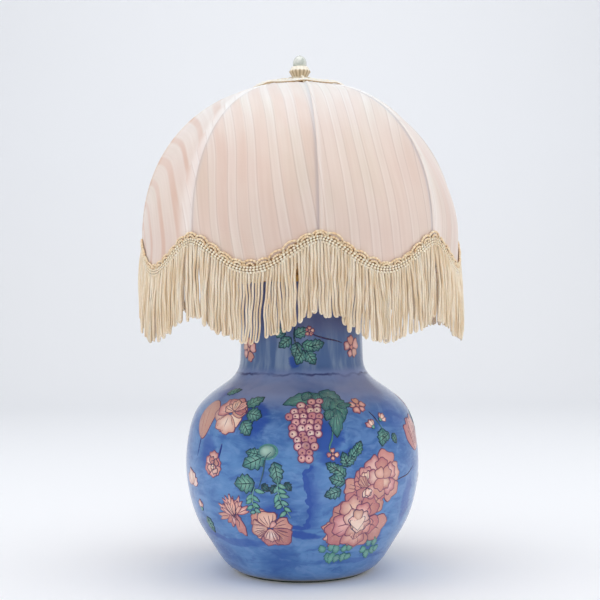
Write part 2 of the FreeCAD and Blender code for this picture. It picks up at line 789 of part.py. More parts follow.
def make_switch():
    """The turn knob at the front of the lamp holder, on a shaft that runs into the insert."""
    start = s.contact_shell_radius / 2
    body = new_body("switch_shaft")
    sketch = new_sketch(body, "XZ_Plane", "Section", start)
    draw_circle(sketch, 0, SWITCH_Z, s.switch_shaft_radius)
    pad(body, sketch, s.switch_shaft_reach - start)
    knob_start = s.holder_radius + s.knob_standoff
    body = new_body("switch_knob")
    sketch = new_sketch(body, "XZ_Plane", "Section", knob_start)
    draw_circle(sketch, 0, 0, s.knob_radius)
    pad(body, sketch, s.knob_length)
    bore = new_sketch(body, "XZ_Plane", "ShaftBore", knob_start)
    draw_circle(bore, 0, 0, s.switch_shaft_radius)
    cut_through(body, bore, s.switch_shaft_reach - knob_start, midplane=False, flipped=True)
    flute = new_sketch(body, "XZ_Plane", "Flute", knob_start)
    draw_circle(flute, s.knob_radius + s.knob_flute_radius / 2, 0, s.knob_flute_radius)
    add_flutes(body, flute, s.knob_length, KNOB_FLUTES)
    lift(body, SWITCH_Z)


def add_flutes(body, flute, length, count):
    """Cuts one flute along the sketch's normal and repeats it round that axis."""
    first = cut_through(body, flute, length, midplane=False, flipped=True)
    pattern = body.newObject("PartDesign::PolarPattern", "Flutes")
    pattern.Originals = [first]
    pattern.Axis = (flute, ["N_Axis"])
    pattern.Angle = 360
    pattern.Occurrences = count
    body.Tip = pattern
    flute.Visibility = False
    doc.recompute()


def make_bulb():
    """The bulb: a hollow glass envelope on its threaded base, with button, insulator, stem and filament."""
    base_z = BULB_Z + s.bulb_button_height + s.bulb_seat_height
    glass_z = base_z + s.bulb_base_height
    glass_top = BULB_Z + s.bulb_length
    turned_piece("bulb_button", ring_steps(0, s.bulb_button_radius, BULB_Z, BULB_Z + s.bulb_button_height))
    seat_steps = [(0, BULB_Z + s.bulb_button_height), (s.bulb_button_radius, BULB_Z + s.bulb_button_height)]
    turned_piece("bulb_insulator", seat_steps + [(s.bulb_seat_radius, base_z), (0, base_z)])
    base_in = s.bulb_base_radius - s.bulb_base_wall
    base_steps = [(0, base_z), (s.bulb_base_radius, base_z), (s.bulb_base_radius, glass_z)]
    floor_z = base_z + s.bulb_base_wall
    turned_piece("bulb_base", base_steps + [(base_in, glass_z), (base_in, floor_z), (0, floor_z)])
    body = new_body("bulb_glass")
    sketch = new_sketch(body, "XZ_Plane", "Wall")
    base, wide = s.bulb_base_radius, s.bulb_radius
    wall = [(between(base, wide, a), between(glass_z, glass_top, b)) for a, b in BULB_SHARES]
    outer = spline(wall + [(0, glass_top)])
    inside = offset_points(outer, 2 * len(wall), s.bulb_glass)
    inside[0].y = float(glass_z)
    inside[-1].x = 0
    inner = spline([(p.x, p.y) for p in inside])
    sketch.addGeometry(outer, False)
    sketch.addGeometry(Part.LineSegment(outer.EndPoint, inner.EndPoint), False)
    sketch.addGeometry(inner, False)
    sketch.addGeometry(Part.LineSegment(inner.StartPoint, outer.StartPoint), False)
    revolve(body, sketch)
    stem_z = base_z + s.bulb_base_wall
    stem_top = stem_z + s.bulb_stem_height
    turned_piece("bulb_stem", ring_steps(0, s.bulb_stem_radius, stem_z, stem_top))
    span, up, across = float(s.filament_half_span), Vector(0, 0, 1), Vector(1, 0, 0)
    low, rise = float(stem_top), float(s.filament_half_span)
    lead = float(s.bulb_stem_radius) / 2
    top = low + rise * FILAMENT_TOP_SHARE
    points = [Vector(-lead, 0, low), Vector(-span, 0, low + rise), Vector(0, 0, top)]
    points += [Vector(span, 0, low + rise), Vector(lead, 0, low)]
    tangents = [up, up, across, -up, -up]
    new_shape("bulb_filament", wire_rod(points, tangents, s.filament_radius))


class ShadePath:
    """The rib's outline as a line of places from the crown ring down past the hem, with its normals."""

    def __init__(self):
        power = 2 / SHADE_EXPONENT
        reach, tall = float(s.shade_radius), float(CROWN_RISE)
        spring, tuck = float(SPRING_Z), float(s.shade_tuck)
        first = math.asin((float(s.shade_ring_radius) / reach) ** (1 / power))
        places = []
        for k in range(PATH_STEPS + 1):
            turn = first + (math.pi / 2 - first) * k / PATH_STEPS
            cosine = max(math.cos(turn), 0.0)
            places.append((reach * math.sin(turn) ** power, spring + tall * cosine ** power))
        straight = float(s.shade_scallop_depth + s.fringe_length + s.braid_width)
        for k in range(1, PATH_STEPS + 1):
            share = k / PATH_STEPS
            places.append((reach - tuck * min(share * 2, 1.0), spring - straight * share))
        self.places = places
        self.lengths = [0.0]
        for before, after in zip(places, places[1:]):
            self.lengths.append(self.lengths[-1] + math.dist(before, after))

    def at(self, distance):
        """Radius, height and outward normal at a distance from the crown ring."""
        k = min(max(bisect.bisect_right(self.lengths, distance) - 1, 0), len(self.places) - 2)
        share = (distance - self.lengths[k]) / (self.lengths[k + 1] - self.lengths[k])
        (r0, z0), (r1, z1) = self.places[k], self.places[k + 1]
        step = math.dist((r0, z0), (r1, z1))
        return r0 + (r1 - r0) * share, z0 + (z1 - z0) * share, (z0 - z1) / step, (r1 - r0) / step

    def distance_at(self, height):
        """Distance from the crown ring to a height."""
        heights = [-place[1] for place in self.places]
        k = min(max(bisect.bisect_right(heights, -height) - 1, 0), len(self.places) - 2)
        share = (self.places[k][1] - height) / (self.places[k][1] - self.places[k + 1][1])
        return self.lengths[k] + (self.lengths[k + 1] - self.lengths[k]) * share


def hem_height(turn):
    """Height of the hem's centre line at a turn from the first rib: a wave with its crests at the ribs."""
    wave = (1 - math.cos(GORES * turn)) / 2
    return float(HEM_Z) - float(s.shade_scallop_depth) * wave ** HEM_WAVE_POWER


def shade_place(path, turn, distance, outward):
    """A place on the shade. Between the ribs the cloth is drawn flat, except at the ring and at the hem."""
    radius, height, out_r, out_z = path.at(distance)
    free = path.distance_at(hem_height(0.0) + float(s.braid_width) / 2)
    taut = math.sin(math.pi * min(max(distance / free, 0.0), 1.0)) ** TAUT_POWER
    from_middle = (turn % (2 * HALF_GORE)) - HALF_GORE
    chord = math.cos(HALF_GORE) / math.cos(from_middle)
    radius = radius * (1 - taut * (1 - chord)) + out_r * outward
    height += out_z * outward
    around = turn + math.radians(SHADE_TURN)
    return Vector(radius * math.sin(around), -radius * math.cos(around), height)


def patch_solid(outer_rows, inner_rows):
    """A closed solid between two smooth surfaces through rows of places."""
    faces = []
    for rows in (outer_rows, inner_rows):
        surface = Part.BSplineSurface()
        surface.interpolate(rows)
        faces.append(surface.toShape())
    sides = []
    for index in range(4):
        outer_edge = faces[0].Edges[index]
        middle = outer_edge.CenterOfMass
        inner_edge = min(faces[1].Edges, key=lambda edge: (edge.CenterOfMass - middle).Length)
        sides.append(Part.makeRuledSurface(outer_edge, inner_edge))
    shell = Part.makeCompound(faces + sides)
    shell.sewShape()
    solid = Part.Solid(Part.Shell(shell.Faces))
    if solid.Volume < 0:
        solid.reverse()
    return solid


def gore_solid(path, number, outward, thickness, first, margin):
    """One gore of cloth between two ribs, from near the crown ring to near the hem."""
    edge = float(s.frame_gap / s.shade_radius / 2)
    rows = {0: [], 1: []}
    for j in range(GORE_ROWS + 1):
        down = j / GORE_ROWS
        for side, offset in ((0, outward), (1, outward - thickness)):
            row = []
            for i in range(GORE_COLUMNS + 1):
                share = i / GORE_COLUMNS
                turn = edge + (2 * HALF_GORE - 2 * edge) * share
                last = path.distance_at(hem_height(turn) - margin)
                distance = first + (last - first) * down
                row.append(shade_place(path, turn, distance, offset))
            rows[side].append(row)
    solid = patch_solid(rows[0], rows[1])
    solid.rotate(Vector(0, 0, 0), Vector(0, 0, 1), math.degrees(2 * HALF_GORE) * number)
    return solid


def band_solid(section):
    """A closed band all round the shade. The section gives its rounded outline's places at each turn."""
    rings = []
    for k in range(GORES * BAND_STEPS):
        rings.append(section(2 * HALF_GORE * k / BAND_STEPS))
    surface = Part.BSplineSurface()
    around, across = len(rings), len(rings[0])
    ones_around, ones_across = [1] * (around + 1), [1] * (across + 1)
    knots_around, knots_across = list(range(around + 1)), list(range(across + 1))
    surface.buildFromPolesMultsKnots(
        rings, ones_around, ones_across, knots_around, knots_across, True, True, 3, 3
    )
    solid = Part.Solid(Part.Shell([surface.toShape()]))
    if solid.Volume < 0:
        solid.reverse()
    return solid


def wave_band(path, top, bottom, inward_gap, thickness, flare):
    """A band that follows the hem between two depths below its centre line, and flares outwards."""

    def section(turn):
        centre = hem_height(turn)
        places = []
        for shares, depth in ((BAND_SHARES, 0.0), (BAND_SHARES[::-1], thickness)):
            for share in shares:
                distance = path.distance_at(centre - (top + (bottom - top) * share))
                out = inward_gap + depth + flare * math.sin(share * math.pi / 2)
                places.append(shade_place(path, turn, distance, out))
        return places

    return band_solid(section)


def make_shade():
    """The shade: wire frame on a spider and hub, eight gores, a lining, two braids and a fringe."""
    path = ShadePath()
    ring_wire, rib_wire = float(s.ring_wire_radius), float(s.rib_wire_radius)
    cloth, gap = float(s.gore_thickness), float(s.frame_gap)
    ring_r, ring_z, ring_out_r, ring_out_z = path.at(0.0)
    ring_in = cloth + gap + ring_wire
    ring_place = Vector(ring_r - ring_out_r * ring_in, 0, ring_z - ring_out_z * ring_in)
    new_shape("shade_ring", Part.makeTorus(ring_place.x, ring_wire, Vector(0, 0, ring_place.z)))
    hub = ring_steps(s.harp_stud_radius + s.hub_hole_gap, s.hub_radius, HUB_Z, HUB_TOP)
    turned_piece("shade_hub", hub)
    make_spider(ring_place)
    wires = cloth + gap + rib_wire
    make_ribs(path, wires, ring_wire + gap)
    make_hem_wire(path, cloth + gap + float(s.hem_wire_radius))
    for number in range(GORES):
        first = float(s.crown_braid_width) * CROWN_TUCK_SHARE
        solid = gore_solid(path, number, 0.0, cloth, first, float(s.braid_width) * BRAID_LAP_SHARE)
        new_shape(f"shade_gore_{number + 1}", solid)
    lining = []
    under = -(cloth + gap + 2 * rib_wire + gap)
    for number in range(GORES):
        first = float(s.crown_braid_width)
        lining.append(gore_solid(path, number, under, float(s.lining_thickness), first, 0.0))
    new_shape("shade_lining", Part.makeCompound(lining))
    half, proud = float(s.braid_width) / 2, float(s.braid_gap)
    thick = float(s.braid_thickness)
    new_shape("hem_braid", wave_band(path, -half, half, proud, thick, 0.0))
    top = half + gap
    long, flare = float(s.fringe_length), float(s.fringe_flare)
    new_shape("shade_fringe", wave_band(path, top, top + long, proud, float(s.fringe_thickness), flare))
    crown, rise = float(s.crown_braid_width), float(s.braid_thickness)

    def crown_section(turn):
        under = [shade_place(path, turn, crown * share, proud) for share in BAND_SHARES]
        over = [shade_place(path, turn, crown * share, proud + rise) for share in BAND_SHARES]
        return under + over[::-1]

    new_shape("crown_braid", band_solid(crown_section))


def make_spider(ring_place):
    """Four arms that carry the ring from the hub, each level at the hub and bent down to the ring."""
    level = float(HUB_Z + s.hub_thickness / 2)
    start = Vector(float(s.hub_radius), 0, level)
    slope = Vector(1, 0, -1).normalize()
    back = float(s.ring_wire_radius + s.frame_gap)
    end = ring_place - slope * back
    arm = wire_rod([start, end], [Vector(1, 0, 0), slope], s.spider_wire_radius)
    arms = []
    for k in range(SPIDER_ARMS):
        copy = arm.copy()
        copy.rotate(Vector(0, 0, 0), Vector(0, 0, 1), SHADE_TURN - 90 + k * 360 / SPIDER_ARMS)
        arms.append(copy)
    new_shape("spider_arms", Part.makeCompound(arms))


def make_ribs(path, inward, back):
    """Eight wires from the crown ring to the hem wire."""
    last = path.distance_at(float(HEM_Z)) - float(s.hem_wire_radius + s.frame_gap)
    points, tangents = [], []
    for k in range(RIB_STEPS + 1):
        distance = back + (last - back) * k / RIB_STEPS
        radius, height, out_r, out_z = path.at(distance)
        points.append(Vector(radius - out_r * inward, 0, height - out_z * inward))
        tangents.append(Vector(out_z, 0, -out_r))
    rib = wire_rod(points, tangents, s.rib_wire_radius)
    for k in range(GORES):
        copy = rib.copy()
        copy.rotate(Vector(0, 0, 0), Vector(0, 0, 1), SHADE_TURN - 90 + k * 360 / GORES)
        new_shape(f"shade_rib_{k + 1}", copy)


def make_hem_wire(path, inward):
    """One closed wire along the hem, made as eight like waves that meet at the ribs."""
    small = 1e-4
    points, tangents = [], []
    for k in range(WAVE_STEPS + 1):
        turn = 2 * HALF_GORE * k / WAVE_STEPS
        places = []
        for near in (turn - small, turn, turn + small):
            distance = path.distance_at(hem_height(near))
            places.append(shade_place(path, near, distance, -inward))
        points.append(places[1])
        tangents.append((places[2] - places[0]).normalize())
    wave = wire_rod(points, tangents, s.hem_wire_radius)
    whole = wave
    for k in range(1, GORES):
        copy = wave.copy()
        copy.rotate(Vector(0, 0, 0), Vector(0, 0, 1), math.degrees(2 * HALF_GORE) * k)
        whole = whole.fuse(copy)
    new_shape("hem_wire", whole.removeSplitter())


def make_finial():
    """The finial: a fluted cup on a threaded insert, with a polished stone dome in its mouth."""
    foot, wide, neck = s.finial_cup_foot_radius, s.finial_cup_radius, s.finial_cup_neck_radius
    bore_top = FINIAL_Z + s.finial_bore_depth
    bore = s.finial_insert_radius
    wide_z = between(FINIAL_Z, FINIAL_CUP_TOP, FINIAL_WIDE_SHARE)
    steps = [(0, bore_top), (bore, bore_top), (bore, FINIAL_Z), (foot, FINIAL_Z), (wide, wide_z)]
    body = turned_piece("finial_cup", steps + [(neck, FINIAL_CUP_TOP), (0, FINIAL_CUP_TOP)])
    flute = new_sketch(body, "XY_Plane", "Flute", FINIAL_Z)
    draw_circle(flute, wide, 0, s.finial_flute_radius)
    add_flutes(body, flute, s.finial_cup_height, FINIAL_FLUTES)
    insert_in = s.harp_stud_radius + s.finial_thread_gap
    insert_top = FINIAL_Z + s.finial_insert_height
    turned_piece("finial_insert", ring_steps(insert_in, bore, FINIAL_Z, insert_top))
    dome_top = FINIAL_CUP_TOP + s.finial_dome_height
    side = s.finial_dome_radius
    low = between(FINIAL_CUP_TOP, dome_top, DOME_LOW_SHARE)
    bow = (side * DOME_BOW_SHARES[0], between(FINIAL_CUP_TOP, dome_top, DOME_BOW_SHARES[1]))
    dome = [(0, FINIAL_CUP_TOP), (side * DOME_FOOT_SHARE, FINIAL_CUP_TOP), (side, low)]
    dome += [(bow, (0, dome_top), BOW)]
    turned_piece("finial_dome", dome)


def check_everything():
    """Stops if an object failed or a sub-part's shape is empty or not valid."""
    for item in doc.Objects:
        for state in ("Invalid", "Error"):
            if state in item.State:
                raise ValueError(f"{item.Label} is {state}")
    for item in sub_parts:
        if item.Shape.isNull() or not item.Shape.isValid():
            raise ValueError(f"{item.Label} has no valid shape")


def write_files():
    """Writes each sub-part to its own file, named after its label."""
    os.makedirs("parts", exist_ok=True)
    for item in sub_parts:
        item.Shape.exportStep(f"parts/{item.Label}.step")


vase_outline = make_vase()
make_bushing(vase_outline)
make_base_hardware()
make_mouth_fittings()
make_saddle()
hex_nut("saddle_nut", s.saddle_nut_height, SADDLE_TOP)
make_harp()
make_holder()
make_holder_inside()
make_switch()
make_bulb()
make_shade()
make_finial()
doc.recompute()
check_everything()
write_files()
print(len(sub_parts), "sub-parts written")
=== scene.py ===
# %% [markdown]
# # A ceramic table lamp with a fringed shade
# The lamp is a glazed vase painted with peonies and grapes, with a domed shade of striped satin on
# a wire frame. The frame model holds every piece at its real size and place. This lesson gives each
# visible piece the surface of the real one: glaze, brushed paint, satin, braid, looped fringe, brass.

# %% Load the frame
import math

import bpy
import numpy as np
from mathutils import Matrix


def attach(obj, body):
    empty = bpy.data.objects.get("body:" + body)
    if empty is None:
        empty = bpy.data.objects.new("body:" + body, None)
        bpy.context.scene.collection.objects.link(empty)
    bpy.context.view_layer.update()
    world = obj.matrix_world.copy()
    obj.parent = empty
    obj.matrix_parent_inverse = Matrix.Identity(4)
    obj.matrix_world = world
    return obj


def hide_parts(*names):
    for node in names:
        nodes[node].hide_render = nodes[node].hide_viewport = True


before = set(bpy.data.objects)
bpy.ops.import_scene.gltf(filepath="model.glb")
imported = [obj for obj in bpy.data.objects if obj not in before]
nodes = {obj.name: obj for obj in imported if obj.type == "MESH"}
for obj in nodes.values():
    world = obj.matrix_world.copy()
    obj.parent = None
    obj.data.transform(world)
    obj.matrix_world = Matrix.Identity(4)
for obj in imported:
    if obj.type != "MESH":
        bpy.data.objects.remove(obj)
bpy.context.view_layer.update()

scene = bpy.context.scene
MM = 0.001
TAU = 2 * math.pi
chance = np.random.default_rng(11)

# %% [markdown]
# ## Shader maths as plain expressions
# A finish is a Principled shader with a few values fixed on its sockets. What varies over the surface
# is worked out by nodes. A small class wraps a socket, so that `1 - mask * 0.5` adds its own Math nodes.

# %% Shader maths


class Value:
    """A number that varies over a surface. Sums and products of values add Math nodes."""

    def __init__(self, finish, socket):
        self.finish, self.socket = finish, socket

    def math(self, operation, *others):
        return self.finish.node("ShaderNodeMath", {"operation": operation}, [self, *others])

    def __add__(self, other):
        return self.math("ADD", other)

    def __mul__(self, other):
        return self.math("MULTIPLY", other)

    def __sub__(self, other):
        return self.math("SUBTRACT", other)

    def __rsub__(self, other):
        return self.finish.node("ShaderNodeMath", {"operation": "SUBTRACT"}, [other, self])

    __radd__ = __add__
    __rmul__ = __mul__

    def off(self, middle):
        """How far the value is from a middle, without its sign."""
        return (self - middle).math("ABSOLUTE")

    def ramp(self, low, high, start=0.0, end=1.0):
        """A smooth step: start below low, end above high."""
        settings = {"interpolation_type": "SMOOTHSTEP"}
        return self.finish.node("ShaderNodeMapRange", settings, [self, low, high, start, end])


class Finish:
    """A material with one Principled shader, whose fixed values are given by socket name."""

    def __init__(self, name, **fixed):
        self.material = bpy.data.materials.new(name)
        self.material.use_nodes = True
        self.tree = self.material.node_tree
        self.shader = self.tree.nodes["Principled BSDF"]
        for key, value in fixed.items():
            self.shader.inputs[key.replace("_", " ")].default_value = value

    def node(self, kind, settings=None, inputs=(), output=0):
        """Adds a node, sets its settings, then gives its sockets values or links, by order or by name."""
        added = self.tree.nodes.new(kind)
        for key, value in (settings or {}).items():
            setattr(added, key, value)
        for key, value in inputs.items() if isinstance(inputs, dict) else enumerate(inputs):
            if isinstance(value, Value):
                self.tree.links.new(value.socket, added.inputs[key])
            else:
                added.inputs[key].default_value = value
        return Value(self, added.outputs[output])

    def stretched(self, vector, stretch):
        return self.node("ShaderNodeMapping", {"vector_type": "POINT"}, {"Vector": vector, "Scale": stretch})

    def place(self, stretch=(1, 1, 1)):
        """Object coordinates, multiplied by a number on each axis."""
        return self.stretched(self.node("ShaderNodeTexCoord", output="Object"), stretch)

    def cloth(self, stretch=(1, 1, 1)):
        """The piece's own UV map, in metres of cloth, multiplied in the same way."""
        return self.stretched(self.node("ShaderNodeUVMap", {"uv_map": "cloth"}), stretch)

    def paint(self, output="Color"):
        """The piece's own vertex colours."""
        return self.node("ShaderNodeAttribute", {"attribute_name": "paint"}, output=output)

    def split(self, vector):
        """The X, Y and Z of a vector as three values."""
        first = self.node("ShaderNodeSeparateXYZ", inputs=[vector])
        return [Value(self, socket) for socket in first.socket.node.outputs]

    def turn(self, x, y):
        """The angle of a place round the axis, in radians."""
        return self.node("ShaderNodeMath", {"operation": "ARCTAN2"}, [x, y])

    def fractal(self, vector, scale, detail, roughness=0.55, distortion=0.0):
        inputs = {"Vector": vector, "Scale": scale, "Detail": detail, "Roughness": roughness}
        return self.node("ShaderNodeTexNoise", None, {**inputs, "Distortion": distortion})

    def noise(self, scale, detail=3, roughness=0.55, distortion=0.0, stretch=(1, 1, 1)):
        """Fractal noise from 0 to 1 over the object."""
        return self.fractal(self.place(stretch), scale, detail, roughness, distortion)

    def cloth_noise(self, across, down, detail=3):
        """Fractal noise from 0 to 1 over the cloth, as fine as asked across it and down it."""
        return self.fractal(self.cloth((across, down, 1)), 1.0, detail)

    def blend(self, factor, first, second, mode="MIX"):
        """Mixes two colours, each a link or an RGB triple."""
        first, second = (c if isinstance(c, Value) else (*c, 1.0) for c in (first, second))
        settings = {"data_type": "RGBA", "blend_type": mode}
        return self.node("ShaderNodeMix", settings, {0: factor, 6: first, 7: second}, output=2)

    def layered(self, colour, *layers):
        """A colour with layers over it, each a mask, a colour and perhaps a way of mixing."""
        for mask, *layer in layers:
            colour = self.blend(mask, colour, *layer)
        return colour

    def feed(self, name, value):
        """Links a value to a socket of the Principled shader."""
        self.tree.links.new(value.socket, self.shader.inputs[name])

    def done(self, colour, roughness, relief, distance, strength):
        """Feeds the shader its colour, its roughness and a bump, a relief times a distance in metres."""
        self.feed("Base Color", colour)
        self.feed("Roughness", roughness)
        inputs = {"Height": relief, "Distance": distance, "Strength": strength}
        self.feed("Normal", self.node("ShaderNodeBump", None, inputs))
        return self


def srgb(red, green, blue):
    """A colour given as 0 to 255 screen values, as linear light."""
    levels = np.array([red, green, blue]) / 255
    return tuple(np.where(levels <= 0.04045, levels / 12.92, ((levels + 0.055) / 1.055) ** 2.4).tolist())


# %% [markdown]
# ## Surfaces from numpy grids
# Every new surface is a grid of places worked out as whole arrays. One function numbers the faces of
# such a grid, one closes a sheet from two grids, and one carries a round section along many paths.

# %% Grid and tube makers


def grid_faces(rows, columns, wrap=False, flip=False, start=0):
    """Quads of a rows by columns grid of vertices, numbered from start. The columns wrap where asked."""
    i = np.arange(rows - 1)[:, None] * columns + start
    j = np.arange(columns if wrap else columns - 1)
    j2 = (j + 1) % columns
    quads = np.stack([i + j, i + j2, i + columns + j2, i + columns + j], -1).reshape(-1, 4)
    return quads[:, ::-1] if flip else quads


def close_sheet(outer, inner):
    """Vertices and faces of a closed sheet, from an outer and an inner grid whose columns wrap."""
    rows, columns = outer.shape[:2]
    behind, low = rows * columns, (rows - 1) * columns
    j = np.arange(columns)
    j2 = (j + 1) % columns
    faces = np.concatenate([
        grid_faces(rows, columns, wrap=True, flip=True),
        grid_faces(rows, columns, wrap=True, start=behind),
        np.stack([j, j2, behind + j2, behind + j], 1),
        np.stack([low + j2, low + j, behind + low + j, behind + low + j2], 1),
    ])
    return np.concatenate([outer.reshape(-1, 3), inner.reshape(-1, 3)]), faces


def copied(faces, count, each):
    """The faces of one shape repeated for count shapes, of each so many vertices."""
    shift = (np.arange(count) * each)[:, None, None]
    return (faces + shift).reshape(-1, faces.shape[-1]).tolist()


def unit(ways):
    return ways / (np.linalg.norm(ways, axis=-1, keepdims=True) + 1e-12)


def tubes(paths, radius, sides, normals, flatten=1.0):
    """Round tubes along many paths at once, as vertices and faces.

    paths is tubes by steps by 3. At each step the section is a circle of the radius, in the plane
    square to the path, set out from the normal made square to the path. flatten scales it along the
    normal. The last two vertices of each tube are the middles of its ends.
    """
    count, steps = paths.shape[:2]
    along = unit(np.gradient(paths, axis=1))
    out = unit(normals - along * np.sum(normals * along, axis=2, keepdims=True))
    side = np.cross(along, out)
    turn = np.arange(sides)[:, None] / sides * TAU
    section = np.cos(turn) * out[:, :, None] * flatten + np.sin(turn) * side[:, :, None]
    rings = paths[:, :, None] + np.broadcast_to(radius, (count, steps))[:, :, None, None] * section
    places = np.concatenate([rings.reshape(count, -1, 3), paths[:, [0, -1]]], axis=1).reshape(-1, 3)
    around, last, ends = np.arange(sides), (steps - 1) * sides, steps * sides + np.zeros((2, sides), int)
    after = (around + 1) % sides
    caps = [[around, after, ends[0]], [last + after, last + around, ends[1] + 1]]
    caps = np.concatenate([np.stack(cap, 1) for cap in caps])
    quads = grid_faces(steps, sides, wrap=True, flip=True)
    return places, copied(quads, count, steps * sides + 2) + copied(caps, count, steps * sides + 2)


def put(name, data, place=(0, 0, 0)):
    """A new object in the scene."""
    made = bpy.data.objects.new(name, data)
    made.location = place
    scene.collection.objects.link(made)
    return made


def smooth_mesh(name, places, faces):
    """A smooth-shaded mesh of vertex places and faces."""
    mesh = bpy.data.meshes.new(name)
    faces = faces if isinstance(faces, list) else faces.tolist()
    mesh.from_pydata(np.reshape(places, (-1, 3)).tolist(), [], faces)
    mesh.validate()
    mesh.polygons.foreach_set("use_smooth", np.ones(len(mesh.polygons), dtype=bool))
    return mesh


def new_piece(name, places, faces, body, slot, finish, colours=None, cloth=None, replaces=()):
    """Makes a mesh object from vertex places and faces, dresses it and puts it on its body."""
    mesh = smooth_mesh(name, places, faces)
    if colours is not None:
        layer = mesh.color_attributes.new("paint", "FLOAT_COLOR", "POINT")
        if colours.shape[1] == 3:
            colours = np.c_[colours, np.ones(len(colours))]
        layer.data.foreach_set("color", colours.astype(np.float32).ravel())
    if cloth is not None:
        layer = mesh.uv_layers.new(name="cloth")
        corners = np.empty(len(mesh.loops), dtype=np.int64)
        mesh.loops.foreach_get("vertex_index", corners)
        layer.data.foreach_set("uv", np.asarray(cloth, dtype=np.float32).reshape(-1, 2)[corners].ravel())
    piece = put(name, mesh)
    mesh.materials.append(finish.material)
    if replaces:
        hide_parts(*replaces)
    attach(piece, body)
    print(name, len(faces), "faces")
    return piece


# %% [markdown]
# ## Camera, floor and light
# The camera stands level in front of the lamp, as in the photograph. The floor sweeps up behind the
# lamp as a studio sheet does, so there is no edge. Large soft lamps above and to the sides keep the
# shading gentle, and a pale world fills the rest. The satin of a real shade lets some light through,
# so a weak lamp inside the dome lights the lining and the far side of the fringe.

# %% Camera
EYE_DISTANCE = 1440 * MM
EYE_HEIGHT = 321.5 * MM
LENS_SPAN = 720 * MM
SENSOR = 36.0
AXIS_SHIFT = -1.5 * MM
ROLL = math.radians(0.36)

eye = bpy.data.cameras.new("eye")
eye.sensor_width = SENSOR
eye.lens = SENSOR * EYE_DISTANCE / LENS_SPAN
scene.camera = put("eye", eye, (AXIS_SHIFT, -EYE_DISTANCE, EYE_HEIGHT))
scene.camera.rotation_euler = (math.pi / 2, ROLL, 0)
print("lens", round(eye.lens, 1), "mm")

# %% Floor and backdrop
FLOOR_FRONT, FLOOR_BACK, SWEEP, WALL_HEIGHT, HALF_SPAN = -4.0, 2.2, 0.9, 5.0, 5.0
SWEEP_STEPS = 24


def make_backdrop():
    """A floor that turns up into a wall: straight, then a quarter circle, then straight."""
    turn = np.linspace(0, math.pi / 2, SWEEP_STEPS)
    y = np.r_[FLOOR_FRONT, FLOOR_BACK + SWEEP * np.sin(turn), FLOOR_BACK + SWEEP][:, None]
    z = np.r_[0.0, SWEEP * (1 - np.cos(turn)), WALL_HEIGHT][:, None]
    places = np.stack(np.broadcast_arrays(np.array([-HALF_SPAN, HALF_SPAN]), y, z), -1)
    paper = Finish("backdrop_paper", Base_Color=(*srgb(244, 246, 250), 1.0), Roughness=0.8)
    sheet_of_paper = put("backdrop", smooth_mesh("backdrop", places, grid_faces(len(y), 2)))
    sheet_of_paper.data.materials.append(paper.material)
    print("backdrop", len(sheet_of_paper.data.polygons), "faces")


make_backdrop()

# %% Light
# Each lamp has its place, what it shines at, its width in metres and its power in watts.
LAMPS = {
    "overhead": ((0.0, -0.35, 2.3), (0.0, -0.1, 0.3), 1.8, 20.5),
    "left_window": ((-2.2, -0.2, 0.9), (0.0, 0.0, 0.3), 1.8, 13.8),
    "right_window": ((2.2, -0.1, 0.9), (0.0, 0.0, 0.3), 1.8, 13.7),
    "front_fill": ((0.2, -2.6, 0.62), (0.0, 0.0, 0.3), 1.2, 10.2),
    "backdrop_lamp": ((0.0, 1.1, 2.4), (0.0, 3.1, 1.3), 1.6, 9.0),
}
SOAK_PLACE, SOAK_RADIUS, SOAK_POWER, SOAK_COLOUR = (0.0, 0.0, 0.47), 0.07, 0.4, (1.0, 0.93, 0.88)
WORLD_COLOUR, WORLD_STRENGTH = (0.972, 0.976, 0.984, 1.0), 0.56


def aim(holder, target):
    """Turns a lamp so that it shines from its place to the target."""
    way = np.array(target) - np.array(holder.location)
    flat = math.hypot(way[0], way[1])
    holder.rotation_euler = (math.atan2(flat, -way[2]), 0, math.atan2(way[1], way[0]) - math.pi / 2)


for lamp_name, (place, target, width, power) in LAMPS.items():
    light = bpy.data.lights.new(lamp_name, "AREA")
    light.size, light.energy = width, power
    holder = put(lamp_name, light, place)
    holder.visible_glossy = lamp_name == "overhead"
    aim(holder, target)

soak = bpy.data.lights.new("light_through_satin", "POINT")
soak.shadow_soft_size, soak.energy, soak.color = SOAK_RADIUS, SOAK_POWER, SOAK_COLOUR
put("light_through_satin", soak, SOAK_PLACE).visible_glossy = False

world = bpy.data.worlds.new("studio")
world.use_nodes = True
sky = world.node_tree.nodes["Background"].inputs
sky["Color"].default_value, sky["Strength"].default_value = WORLD_COLOUR, WORLD_STRENGTH
scene.world = world
scene.view_settings.view_transform = "Standard"
print(len(LAMPS) + 1, "lamps")

# %% [markdown]
# ## The shade's outline
# Eight wires run from the crown ring to the hem. Their outline is a superellipse: with r the radius,
# h the height over the spring line, a the reach and b the rise, (r/a)^n + (h/b)^n = 1. Below the
# spring line the wires run nearly straight down. The hem is a wave with its crests at the wires.

# %% Outline of the shade
GORES = 8
HALF_GORE = math.pi / GORES
SHADE_TURN = math.radians(6.0)
SHADE_RADIUS = 187.5 * MM
CROWN_RISE = 184.0 * MM
SPRING_HEIGHT = 395.0 * MM
RING_RADIUS = 52.0 * MM
HEM_CREST = 389.0 * MM
HEM_DEPTH = 32.4 * MM
HEM_POWER = 0.8
TUCK = 1.5 * MM
EXPONENT = 2.2
DOME_STEPS, DROP_STEPS = 400, 200
BRAID_WIDTH = 14.0 * MM
FRINGE_LENGTH = 75.0 * MM
FRINGE_SPARE = 12.0 * MM
GORE_CLOTH = 1.0 * MM


